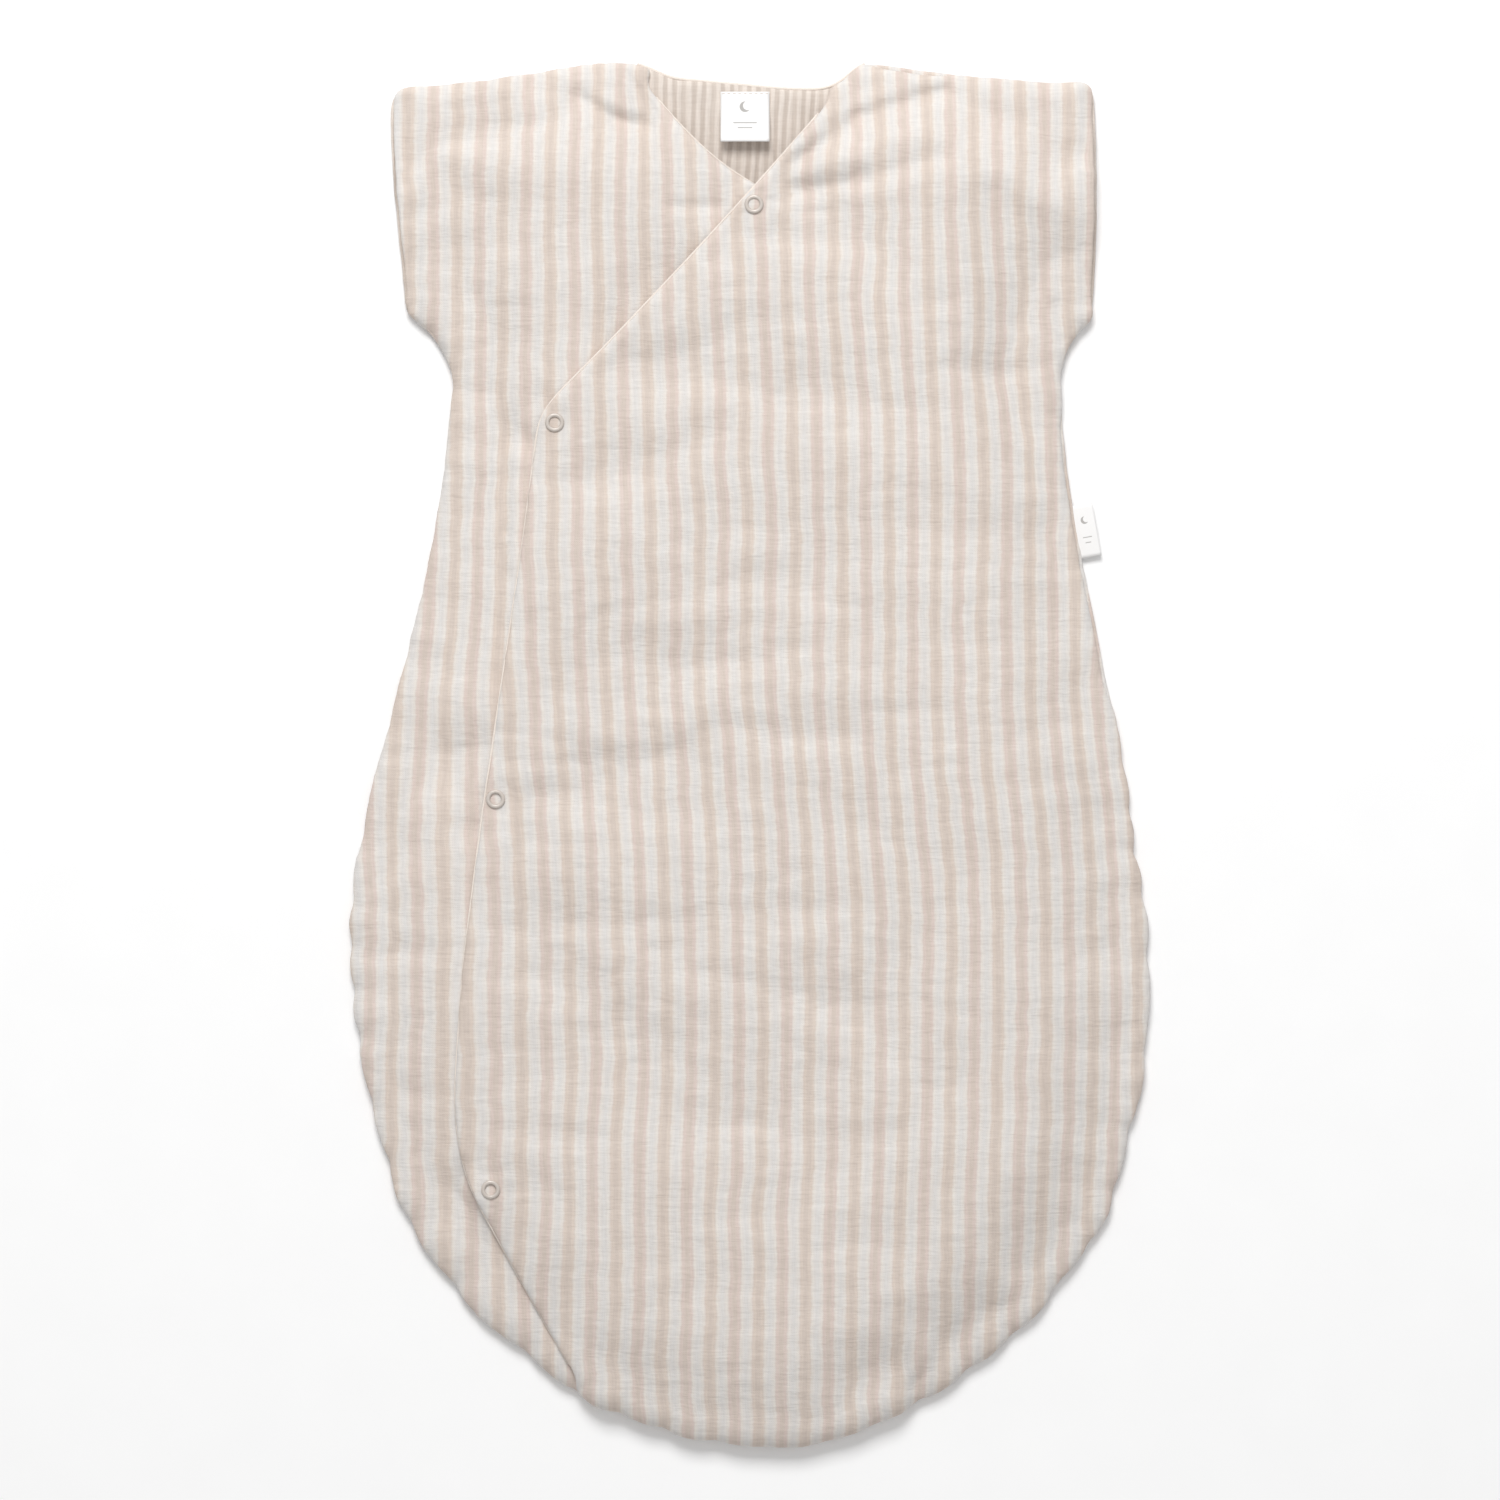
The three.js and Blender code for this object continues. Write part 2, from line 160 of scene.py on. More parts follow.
def plan_outline(node):
    """Outline of a CAD node seen from above, counter-clockwise: the longest loop round its upward faces."""
    mesh = frame["nodes"][node].data
    keys = [tuple(np.round(np.array(v.co[:2]) / (0.02 * MM)).astype(int)) for v in mesh.vertices]
    places = {key: v.co[:2] for key, v in zip(keys, mesh.vertices)}
    upward = [polygon for polygon in mesh.polygons if polygon.normal.z > 0.3]
    loops = border_loops([[keys[i] for i in polygon.vertices] for polygon in upward])
    return np.array([places[key] for key in max(loops, key=len)])


def resample(path, spacing, closed=False):
    """Points at an even spacing along a path. A closed path doesn't repeat its first point."""
    points = np.vstack([path, path[:1]]) if closed else path
    along = np.concatenate([[0], np.cumsum(np.linalg.norm(np.diff(points, axis=0), axis=1))])
    count = max(int(round(along[-1] / spacing)), 2)
    at = np.linspace(0, along[-1], count + 1)
    even = np.stack([np.interp(at, along, points[:, i]) for i in range(points.shape[1])], axis=1)
    return even[:-1] if closed else even


def relax(path, times):
    """An open path with its kinks smoothed out and its ends kept."""
    for _ in range(times):
        path[1:-1] = (path[:-2] + 2 * path[1:-1] + path[2:]) / 4
    return path


def outward_normals(loop):
    along = np.roll(loop, -1, axis=0) - np.roll(loop, 1, axis=0)
    along /= np.linalg.norm(along, axis=1)[:, None]
    return np.stack([along[:, 1], -along[:, 0]], axis=1)


def nearest_on(points, starts, ends):
    """For each point, the distance to the nearest of some line pieces, and which piece that is."""
    span = ends - starts
    square = np.maximum((span ** 2).sum(1), 1e-12)
    distances, pieces = [], []
    for chunk in np.array_split(points, max(1, len(points) // 1500)):
        offset = chunk[:, None, :] - starts[None]
        t = np.clip((offset * span).sum(2) / square, 0, 1)
        gap = np.linalg.norm(offset - t[..., None] * span, axis=2)
        pieces.append(gap.argmin(1))
        distances.append(gap.min(1))
    return np.concatenate(distances), np.concatenate(pieces)


def distance_to(points, path, closed=False):
    ends = np.roll(path, -1, axis=0)
    last = len(path) if closed else len(path) - 1
    return nearest_on(points, path[:last], ends[:last])[0]


def inside(points, loop):
    """True for each point inside a closed loop."""
    a, b = loop, np.roll(loop, -1, axis=0)
    rise = np.where(a[:, 1] == b[:, 1], 1e-12, b[:, 1] - a[:, 1])
    found = []
    for chunk in np.array_split(points, max(1, len(points) // 1500)):
        x, y = chunk[:, :1], chunk[:, 1:]
        spans = (a[:, 1] > y) != (b[:, 1] > y)
        left = x < (b[:, 0] - a[:, 0]) * (y - a[:, 1]) / rise + a[:, 0]
        found.append((spans & left).sum(1) % 2 == 1)
    return np.concatenate(found)


# ---- Outlines ----
# Places where the soft side bulges out of its even outline, or in when negative: x, y, half length, bulge.
UNEVEN_SEAM = [
    (-176, -232, 24, 2.6),
    (-84, -325, 20, 2.6),
    (5, -347, 25, -2.6),
    (65, -336, 12, -2.2),
    (160, -261, 11, -2.4),
    (178, -228, 18, 2.0),
    (198, -155, 14, 1.6),
    (193, -45, 25, -2.2),
    (-152, 188, 12, -1.5),
]


def puff(along):
    """0 at a stitched-in point of the seam and 1 at the middle of the puff beside it."""
    phase = along / PUFF_LENGTH + 0.8 * noise(along / (95 * MM), 0 * along, 3)
    return np.abs(np.sin(math.pi * phase)) ** 0.8


def pucker_strength(points):
    """How gathered the seam is: barely at the shoulders, strongly at the foot. The openings are plain."""
    x, y = np.abs(points[:, 0]), points[:, 1]
    opening = (x > SLEEVE_X) & (y > SLEEVE_BOTTOM) | (y > NECK_Y) & (x < NECK_POINT[0])
    return np.where(opening, 0.05, 0.15 + 0.85 * smooth(0.09, -0.09, y))


def make_rim():
    """The bag's outline with its gathers, and the distance along it at each point."""
    plain = resample(plan_outline("back_shell"), 3 * MM, closed=True)
    steps = np.linalg.norm(np.roll(plain, -1, axis=0) - plain, axis=1)
    along = np.concatenate([[0], np.cumsum(steps)[:-1]])
    depth = PUFF_DEPTH * pucker_strength(plain) * (puff(along) - 0.72)  # 0.72 is near its mean
    for x, y, half_length, bulge in UNEVEN_SEAM:
        away = np.linalg.norm(plain / MM - (x, y), axis=1)
        depth += bulge * MM * np.exp(-(away / half_length) ** 2)
    return plain + outward_normals(plain) * depth[:, None], along


RIM, RIM_ALONG = make_rim()
RIM_OPEN = pucker_strength(RIM) < 0.1
RIM_NEXT = np.roll(RIM, -1, axis=0)
SEWN = ~(RIM_OPEN | np.roll(RIM_OPEN, -1))


def rim_index(place):
    return np.linalg.norm(RIM - place, axis=1).argmin()


def rim_between(start, end):
    """The rim from the point nearest to one place on to the point nearest to another, counter-clockwise."""
    first, last = rim_index(start), rim_index(end)
    order = np.arange(first, last + 1 if last > first else last + 1 + len(RIM)) % len(RIM)
    return RIM[order]


def free_edge(node, along_fold):
    """The free edge of a front panel, in the order of its CAD outline, with its ends out on the rim."""
    loop = plan_outline(node)
    free = distance_to(loop, RIM, closed=True) > 3.5 * MM
    if along_fold:
        across = (loop - FOLD_POINT[:2]) @ FLAPWARDS[:2]
        free &= across > 1.5 * MM
    first = int(np.flatnonzero(free & ~np.roll(free, 1))[0])
    run = np.roll(loop, -first, axis=0)[: free.sum()]
    path = np.vstack([RIM[rim_index(run[0])], run, RIM[rim_index(run[-1])]])
    return relax(resample(path, RIM_SPACING), 3)


OVERLAP_EDGE = free_edge("flap_shell", along_fold=True)
UNDERLAP_EDGE = free_edge("underlap_shell", along_fold=False)


def zone(points, left, right, bottom, top, soft=8 * MM):
    """1 inside a plan rectangle and 0 outside it, with a soft border."""
    x, y = points.T
    across = smooth(left - soft, left + soft, x) * smooth(right + soft, right - soft, x)
    return across * smooth(bottom - soft, bottom + soft, y) * smooth(top + soft, top - soft, y)


def at_sleeve_opening(points):
    """1 along the two sleeve openings and 0 elsewhere on the rim."""
    mirrored = np.column_stack([np.abs(points[:, 0]), points[:, 1]])
    return zone(mirrored, SLEEVE_X, 0.25, SLEEVE_BOTTOM + 6 * MM, SLEEVE_TOP, 5 * MM)


def front_inset(points):
    """How far a front panel's edge lies inside the back's: at the sleeves and where the back rolls over."""
    side_roll = 2.2 * MM * zone(points, 0.14, 0.19, 0.03, 0.17)
    shoulder_roll = 2.6 * MM * zone(points, 0.062, 0.1, 0.32, 0.36)
    return SLEEVE_INSET * at_sleeve_opening(points) + side_roll + shoulder_roll


def panel_loop(edge):
    """A front panel's whole outline: its free edge and the rim from the edge's end back to its start."""
    rim = resample(rim_between(edge[-1], edge[0]), RIM_SPACING)
    loop = np.vstack([edge[:-1], rim[:-1]])
    return loop - outward_normals(loop) * front_inset(loop)[:, None]


SNAPS = [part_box(f"snap_{number}_cap_ring") for number in range(1, 5)]
SNAP_PLACES = np.array([[(low.x + high.x) / 2, (low.y + high.y) / 2] for low, high in SNAPS])


# ---- Sheets ----
def sheet_points(loop, snapped):
    """The points of a sheet: rows along its outline, rings round the snaps, and an even field between."""
    low, high = loop.min(0), loop.max(0)
    rows = np.arange(low[1], high[1], SPACING * math.sqrt(3) / 2)
    columns = np.arange(low[0], high[0], SPACING)
    x, y = np.meshgrid(columns, rows)
    x = x + (np.arange(len(rows)) % 2)[:, None] * SPACING / 2
    field = np.stack([x.ravel(), y.ravel()], axis=1)
    field = field[inside(field, loop)]
    field = field[distance_to(field, loop, True) > FIELD_INSET]
    points = [loop]
    for inset in EDGE_ROWS:
        row = loop - outward_normals(loop) * inset
        points.append(row[(distance_to(row, loop, True) > 0.93 * inset) & inside(row, loop)])
    if snapped:
        for place in SNAP_PLACES:
            field = field[np.linalg.norm(field - place, axis=1) > SNAP_CLEARING]
            points.append(place[None])
            for radius, count in SNAP_ROWS:
                turn = np.arange(count) * 2 * math.pi / count
                ring = place + radius * MM * np.stack([np.cos(turn), np.sin(turn)], axis=1)
                points.append(ring[distance_to(ring, loop, True) > 3.6 * MM])
    points.append(field)
    return np.vstack(points)


class Sheet:
    """The middle surface of one padded panel: plan points, triangles, and what is known at each point."""

    def __init__(self, name, loop, snapped):
        self.name = name
        points = sheet_points(loop, snapped)
        corners = [Vector(p) for p in points]
        verts, _, faces, *_ = delaunay_2d_cdt(corners, [], [list(range(len(loop)))], 1, 1e-6)
        self.plan = np.array([v[:] for v in verts])
        used = np.zeros(len(verts), bool)
        used[[i for face in faces for i in face]] = True
        renumber = np.cumsum(used) - 1
        self.plan = self.plan[used]
        self.triangles = np.array([[renumber[i] for i in face] for face in faces])
        a, b, c = (self.plan[self.triangles[:, i]] for i in range(3))
        flip = np.cross(b - a, c - a) < 0
        self.triangles[flip] = self.triangles[flip][:, ::-1]
        self.border = self.find_border()
        self.edge_distance = distance_to(self.plan, self.plan[self.border], closed=True)
        self.seam_distance, _ = nearest_on(self.plan, RIM[SEWN], RIM_NEXT[SEWN])
        openings = at_sleeve_opening(RIM) > 0.5
        self.mouth_distance, _ = nearest_on(self.plan, RIM[openings], RIM_NEXT[openings])
        self.rim_distance, piece = nearest_on(self.plan, RIM, RIM_NEXT)
        self.rim_along = RIM_ALONG[piece]
        self.gather = pucker_strength(RIM)[piece]
        gaps = np.linalg.norm(self.plan[:, None] - SNAP_PLACES[None], axis=2)
        self.snap_distance = gaps.min(1) if snapped else np.full(len(self.plan), 1.0)
        self.middle = np.column_stack([self.plan, self.crown()])

    def find_border(self):
        """The border's points in order, counter-clockwise."""
        return np.array(max(border_loops(self.triangles.tolist()), key=len))

    def refine(self):
        """Splits each triangle into four and smooths the surface (Loop subdivision)."""
        corners = self.triangles
        sides = np.vstack([corners[:, [0, 1]], corners[:, [1, 2]], corners[:, [2, 0]]])
        facing = np.concatenate([corners[:, 2], corners[:, 0], corners[:, 1]])
        sides = np.sort(sides, axis=1)
        edges, which, uses = np.unique(sides, axis=0, return_inverse=True, return_counts=True)
        which = which.ravel()
        a, b = edges.T
        shaped = np.column_stack([self.plan, self.middle])
        opposite = np.zeros((len(edges), 5))
        np.add.at(opposite, which, shaped[facing])
        halfway = (shaped[a] + shaped[b]) / 2
        border_edge = (uses == 1)[:, None]
        added = np.where(border_edge, halfway, halfway * 0.75 + opposite / 8)

        near = np.zeros((len(shaped), 5))
        valence = np.zeros((len(shaped), 1))
        beside = np.zeros((len(shaped), 5))
        for one, other in ((a, b), (b, a)):
            np.add.at(near, one, shaped[other])
            np.add.at(valence, one, 1)
            np.add.at(beside, one, shaped[other] * border_edge)
        pull = 3 / (8 * np.maximum(valence, 2))
        kept = shaped * (1 - valence * pull) + near * pull
        kept[self.border] = shaped[self.border] * 0.75 + beside[self.border] / 8

        first = len(shaped)
        ab, bc, ca = (first + part for part in np.split(which, 3))
        p, q, r = corners.T
        self.triangles = np.vstack([np.column_stack(part) for part in (
            (p, ab, ca), (ab, q, bc), (ca, bc, r), (ab, bc, ca))])
        shaped = np.vstack([kept, added])
        self.plan, self.middle = shaped[:, :2], shaped[:, 2:]
        for name in ("edge_distance", "seam_distance", "rim_distance", "snap_distance", "mouth_distance"):
            values = getattr(self, name)
            setattr(self, name, np.concatenate([values, (values[a] + values[b]) / 2]))
        self.border = self.find_border()

    def crown(self):
        """Height of the middle surface as the bag lies empty."""
        full = TOPS[self.name] - THICKNESS / 2
        rim = THICKNESS * 0.55 + RIM_STEP * LEVEL[self.name]
        flattened = 1 - 0.5 * smooth(75 * MM, 0, self.mouth_distance)
        return rim + (full - rim) * smooth(0, RISE, self.seam_distance) * flattened

    def thickness(self):
        """Thickness of the panel at each point, rounded off towards its edges and clamped at the snaps."""
        sewn = self.seam_distance < self.edge_distance + 1.5 * MM
        round_over = np.where(sewn, SEAM_ROUNDING, EDGE_ROUNDING)
        into = 1 - np.clip(self.edge_distance / round_over, 0, 1)
        thick = RIM_THICKNESS + (THICKNESS - RIM_THICKNESS) * np.sqrt(1 - into ** 2)
        thick = np.minimum(thick, HEM_THICKNESS + 0.2 * self.mouth_distance)
        if self.name == "back":
            thick = thick - LABEL_DENT * zone(self.plan, *LABEL_SEAM, 3 * MM)
        clamp = smooth(12.5 * MM, 5.2 * MM, self.snap_distance)
        return thick + (SNAP_THICKNESS - thick) * clamp

    def normals(self):
        a, b, c = (self.middle[self.triangles[:, i]] for i in range(3))
        face = np.cross(b - a, c - a)
        total = np.zeros_like(self.middle)
        for i in range(3):
            np.add.at(total, self.triangles[:, i], face)
        return total / np.linalg.norm(total, axis=1)[:, None]


# ---- Wrinkles ----
# Folds on the upper side of the panels, in millimetres: from, to, half width, height (valleys negative).
FOLDS = {
    "overlap": [
        ((24, 298), (55, 319), 4.5, -2.4),  # drag folds from the neck to the right shoulder
        ((55, 319), (98, 333), 4.0, -2.8),
        ((40, 320), (80, 336), 5.0, 1.2),
        ((22, 283), (55, 288), 4.5, -2.8),
        ((55, 288), (95, 299), 5.0, -2.4),
        ((28, 293), (84, 310), 5.5, 1.4),
        ((10, 278), (22, 278.5), 1.8, -0.9),  # crease beside the top snap
        ((22, 271), (38, 272), 1.6, -0.9),
        ((153, 227), (155, 209), 2.6, -1.5),  # under the arm
        ((148, 196), (118, 190), 5, -0.9),
        ((-132, 13), (-100, 10), 1.8, -0.5),  # beside the third snap
        ((-122, -3), (-84, -2), 2.5, -0.4),
        ((-126, -187), (-70, -190), 6, -0.9),
        ((-100, -85), (-30, -80), 5, -0.8),  # across the lap
        ((20, -120), (110, -128), 6, -0.7),
        ((-60, 60), (10, 66), 5, -0.6),
        ((40, 120), (120, 112), 6, -0.6),
    ],
    "underlap": [
        ((-87, 331), (-66, 318), 4.0, -2.6),  # drag folds from the neck to the left shoulder
        ((-66, 318), (-50, 315.5), 4.0, -2.6),
        ((-60, 342), (-45, 319), 1.3, -1.6),  # beside the rolled edge at the neck
        ((-112, 337), (-90, 327), 6.5, -1.5),
        ((-76, 328), (-56, 324), 4.0, 1.2),
        ((-41, 275), (-15, 275.5), 2.6, -1.5),
        ((-121, 160), (-121, 112), 2.0, -1.6),  # the cloth bunches along the overlap's edge
        ((-121, 112), (-126, 36), 2.2, -1.5),
        ((-115, 150), (-118, 96), 2.6, 0.9),
        ((-134, 120), (-139, 30), 3.0, -0.8),
        ((-160, 214), (-152, 195), 2.8, -1.5),  # under the arm
        ((-148, 184), (-124, 181), 5, -0.9),
        ((-185, 0), (-142, 4), 3, -0.6),
        ((-190, -100), (-160, -97), 5, -0.9),
    ],
    "back": [],
}


def fold_heights(sheet):
    """Height of the named folds at each point of a panel, no deeper than its padding."""
    height = np.zeros(len(sheet.plan))
    for start, end, half_width, peak in FOLDS[sheet.name]:
        a, b = np.array(start) * MM, np.array(end) * MM
        span = b - a
        t = ((sheet.plan - a) @ span) / (span @ span)
        off = np.linalg.norm(sheet.plan - (a + np.clip(t, 0, 1)[:, None] * span), axis=1)
        height += peak * MM * np.exp(-(off / (half_width * MM)) ** 2)
    return np.maximum(height, 0.8 * MM - sheet.thickness())


def soft_wrinkles(sheet):
    """Broad soft waves that run across the bag, and gathers that run in from the seam."""
    x, y = sheet.plan[:, 0] / MM, sheet.plan[:, 1] / MM
    seed = 10 * LEVEL[sheet.name]
    bent = y + 14 * noise(x / 70, y / 70, seed + 4)
    waves = 0.9 * noise(x / 90, bent / 30, seed + 1)
    waves += 0.9 * np.abs(noise(x / 46, bent / 17, seed + 2)) - 0.3
    away = np.exp(-sheet.rim_distance / (13 * MM))
    gathers = -1.7 * sheet.gather * (1 - puff(sheet.rim_along)) ** 2 * away
    fade = smooth(0, 16 * MM, sheet.rim_distance)
    return (waves * fade + gathers * smooth(0, 2 * MM, sheet.rim_distance)) * MM


def add_cloth(ob, slack, frames):
    """Makes an object soft muslin that is cut larger by the slack and held by its vertex group."""
    cloth = ob.modifiers.new("Cloth", "CLOTH")
    settings = cloth.settings
    settings.quality = 6
    settings.mass = 0.3
    settings.tension_stiffness = 15
    settings.compression_stiffness = 15
    settings.shear_stiffness = 5
    settings.bending_stiffness = 3
    settings.vertex_group_mass = "hold"
    settings.shrink_min = -slack
    settings.effector_weights.gravity = 0
    cloth.collision_settings.use_collision = False
    cloth.point_cache.frame_start = 1
    cloth.point_cache.frame_end = frames


def simulate(sheet, slack, cap, frames=30):
    """Wrinkles a sheet by simulating cloth that is larger, by the slack, than the space between its seams.
    It is simulated ten times as large, where the solver's default time step works well."""
    big = 10
    mesh = bpy.data.meshes.new(sheet.name + "_cloth")
    mesh.from_pydata((sheet.middle * big).tolist(), [], sheet.triangles.tolist())
    ob = bpy.data.objects.new(sheet.name + "_cloth", mesh)
    bpy.context.scene.collection.objects.link(ob)
    hold = ob.vertex_groups.new(name="hold")
    firm = np.maximum(smooth(4 * MM, 0, sheet.edge_distance), smooth(12 * MM, 7 * MM, sheet.snap_distance))
    for i in np.flatnonzero(firm > 0.01):
        hold.add([int(i)], float(firm[i]), "REPLACE")
    add_cloth(ob, slack, frames)
    scene = bpy.context.scene
    for moment in range(1, frames + 1):
        scene.frame_set(moment)
    shaped = ob.evaluated_get(bpy.context.evaluated_depsgraph_get()).to_mesh()
    move = vectors(shaped.vertices, "co") / big - sheet.middle
    length = np.linalg.norm(move, axis=1)[:, None]
    sheet.middle += move * cap * np.tanh(length / cap) / np.maximum(length, 1e-9)
    bpy.data.objects.remove(ob)
    scene.frame_set(1)


def heights_above(tree, plan):
    """Height of a tree's top surface over each plan point, or far below the ground where it has none."""
    down = Vector((0, 0, -1))
    heights = np.full(len(plan), -1.0)
    for i, (x, y) in enumerate(plan):
        hit = tree.ray_cast(Vector((x, y, 1)), down)[0]
        if hit is not None:
            heights[i] = hit.z
    return heights


def upper_surface(sheet):
    """The upper surface of a sheet, for resting another one on it."""
    surface = sheet.middle + sheet.normals() * sheet.thickness()[:, None] / 2
    return BVHTree.FromPolygons(surface.tolist(), sheet.triangles.tolist())


def lay_on(sheet, tree):
    """Lifts a sheet where its underside would sink into the surface below it."""
    floor = heights_above(tree, sheet.middle[:, :2])
    lowest = floor + GAP + sheet.thickness() / 2
    lift = np.maximum(lowest - sheet.middle[:, 2], 0)
    sheet.middle[:, 2] += lift


def hold_at_snaps(sheet, surface_heights):
    """Brings the clamped cloth at each snap to the height of the metal that lies on it."""
    for place, height in zip(SNAP_PLACES, surface_heights):
        away = np.linalg.norm(sheet.plan - place, axis=1)
        pull = smooth(15 * MM, 5 * MM, away)
        sheet.middle[:, 2] += (height - SNAP_THICKNESS / 2 - sheet.middle[:, 2]) * pull


# ---- Building meshes ----
def new_object(name, verts, faces, materials, face_slots=None, smooth_shading=True):
    mesh = bpy.data.meshes.new(name)
    mesh.from_pydata(np.asarray(verts).tolist(), [], [list(map(int, face)) for face in faces])
    for material in materials:
        mesh.materials.append(material)
    if face_slots is not None:
        mesh.polygons.foreach_set("material_index", np.asarray(face_slots, np.int32))
    mesh.polygons.foreach_set("use_smooth", np.full(len(mesh.polygons), smooth_shading))
    mesh.update()
    ob = bpy.data.objects.new(name, mesh)
    bpy.context.scene.collection.objects.link(ob)
    return ob


def vectors(vertices, attribute):
    """An attribute of a mesh's vertices, with one row for each vertex."""
    values = np.zeros(len(vertices) * 3, np.float32)
    vertices.foreach_get(attribute, values)
    return values.reshape(-1, 3).astype(float)


def set_plan_map(ob, plan):
    """Stores each vertex's plan place, in metres, as a UV map that the fabric's stripes follow."""
    layer = ob.data.uv_layers.new(name="Plan")
    corners = np.zeros(len(ob.data.loops), np.int32)
    ob.data.loops.foreach_get("vertex_index", corners)
    layer.data.foreach_set("uv", plan[corners].astype(np.float32).ravel())


def crinkle(ob, depth):
    """Puffs the vertices in and out by the fine uneven crinkle of washed muslin. Its creases run across."""
    mesh = ob.data
    co = vectors(mesh.vertices, "co")
    normal = vectors(mesh.vertices, "normal")
    side = np.where(normal[:, 2] > 0, 0, 50)
    x = co[:, 0] / MM
    y = co[:, 1] / MM + 3 * noise(x / 25, co[:, 1] / MM / 25, 23 + side)
    puffs = np.abs(noise(x / 24, y / 10, 21 + side)) + 0.6 * np.abs(noise(x / 12, y / 6, 22 + side))
    patches = 0.65 + 0.35 * noise(x / 60, y / 50, 24 + side)
    co += normal * ((puffs - 0.5) * patches * depth)[:, None]
    co[:, 2] = np.maximum(co[:, 2], 0.05 * MM)
    mesh.vertices.foreach_set("co", co.astype(np.float32).ravel())
    mesh.update()


def cloth_place(sheet):
    """Where each point of a panel lies on its cloth, in metres: the woven stripes run along its Y."""
    x, y = sheet.plan[:, 0] / MM, sheet.plan[:, 1] / MM
    seed = 10 * LEVEL[sheet.name]
    wander = 1.7 * noise(x / 130, y / 110, seed + 5) + 0.9 * noise(x / 60, y / 38, seed + 6)
    jogs = 0.5 * noise(x / 34, y / 10, seed + 7)
    swing = smooth(110, -40, y) * smooth(-105, -180, x)  # the cloth follows the left side as it widens
    along = x + wander + jogs + 7 * swing + STRIPE_SHIFT[sheet.name]
    if sheet.name == "overlap":  # its stripes lean to the right, most of all across the lap
        along -= 3 * smooth(300, 160, y) + 8 * smooth(60, -95, y) - 1.5 * smooth(-130, -290, y)
    return np.column_stack([along, y]) * MM


def padded_panel(sheet, name, upper, lower, crinkle_depth):
    """A closed padded mesh round a sheet, with one material on its upper face and one on its lower face."""
    sheet.refine()
    half = sheet.normals() * sheet.thickness()[:, None] / 2
    count = len(sheet.plan)
    pressed = np.column_stack([np.zeros((count, 2)), fold_heights(sheet)])
    verts = np.vstack([sheet.middle + half + pressed, sheet.middle - half])
    verts[:, 2] = np.maximum(verts[:, 2], GROUND_GAP)
    top = sheet.triangles
    bottom = sheet.triangles[:, ::-1] + count
    a = sheet.border
    b = np.roll(a, -1)
    walls = np.stack([a + count, b + count, b, a], axis=1)
    faces = top.tolist() + bottom.tolist() + walls.tolist()
    slots = np.concatenate([np.zeros(len(top)), np.ones(len(bottom)), np.zeros(len(walls))])
    if upper == LINING:  # the shell rolls over the edge to the upper side
        at_edge = sheet.edge_distance[top].mean(axis=1) < SEAM_ALLOWANCE
        slots[: len(top)] = at_edge & (sheet.seam_distance[top].mean(axis=1) < SEAM_ALLOWANCE + 0.2 * MM)
        slots[-len(walls):] = 1
    ob = new_object(name, verts, faces, [upper, lower], slots)
    cloth = cloth_place(sheet)
    set_plan_map(ob, np.vstack([cloth, cloth]))
    crinkle(ob, crinkle_depth)
    return ob


def ring_faces(rings, sides, joined):
    """Faces from each ring of points to the next. The last ring joins the first, or both are capped."""
    faces = []
    for i in range(rings if joined else rings - 1):
        here, there = i * sides, (i + 1) % rings * sides
        for j in range(sides):
            k = (j + 1) % sides
            faces.append([here + j, here + k, there + k, there + j])
    if not joined:
        faces.append(list(range(sides))[::-1])
        faces.append([(rings - 1) * sides + j for j in range(sides)])
    return faces


def tube(name, path, radius, sides, material):
    """A round cord along a path of points, closed at both ends."""
    along = np.gradient(path, axis=0)
    along /= np.linalg.norm(along, axis=1)[:, None]
    across = np.cross(along, [0, 0, 1.0])
    across /= np.linalg.norm(across, axis=1)[:, None]
    up = np.cross(across, along)
    turns = np.arange(sides) * 2 * math.pi / sides
    rings = [path + radius * (math.cos(t) * across + math.sin(t) * up) for t in turns]
    verts = np.stack(rings, axis=1).reshape(-1, 3)
    return outward(new_object(name, verts, ring_faces(len(path), sides, False), [material]))


def outward(ob):
    """Turns a closed mesh's faces outwards."""
    mesh = ob.data
    volume = 0.0
    for polygon in mesh.polygons:
        first = mesh.vertices[polygon.vertices[0]].co
        for i, j in zip(polygon.vertices[1:-1], polygon.vertices[2:]):
            volume += first.dot(mesh.vertices[i].co.cross(mesh.vertices[j].co))
    if volume < 0:
        mesh.flip_normals()
    return ob


def lathe(name, profile, centre, material, hollow, sides=48):
    """A profile of (radius, height) millimetres turned about the vertical through a point. A hollow one is
    a closed loop, and a solid one is capped at both ends."""
    turns = np.arange(sides) * 2 * math.pi / sides
    verts = [(r * MM * math.cos(t), r * MM * math.sin(t), z * MM) for r, z in profile for t in turns]
    faces = ring_faces(len(profile), sides, hollow)
    return outward(new_object(name, np.array(verts) + np.array(centre), faces, [material]))


# ---- Materials ----
def linear(red, green, blue):
    """An sRGB colour of 0-255 values as linear RGBA."""
    channels = [c / 255 for c in (red, green, blue)]
    return [c / 12.92 if c <= 0.04045 else ((c + 0.055) / 1.055) ** 2.4 for c in channels] + [1.0]


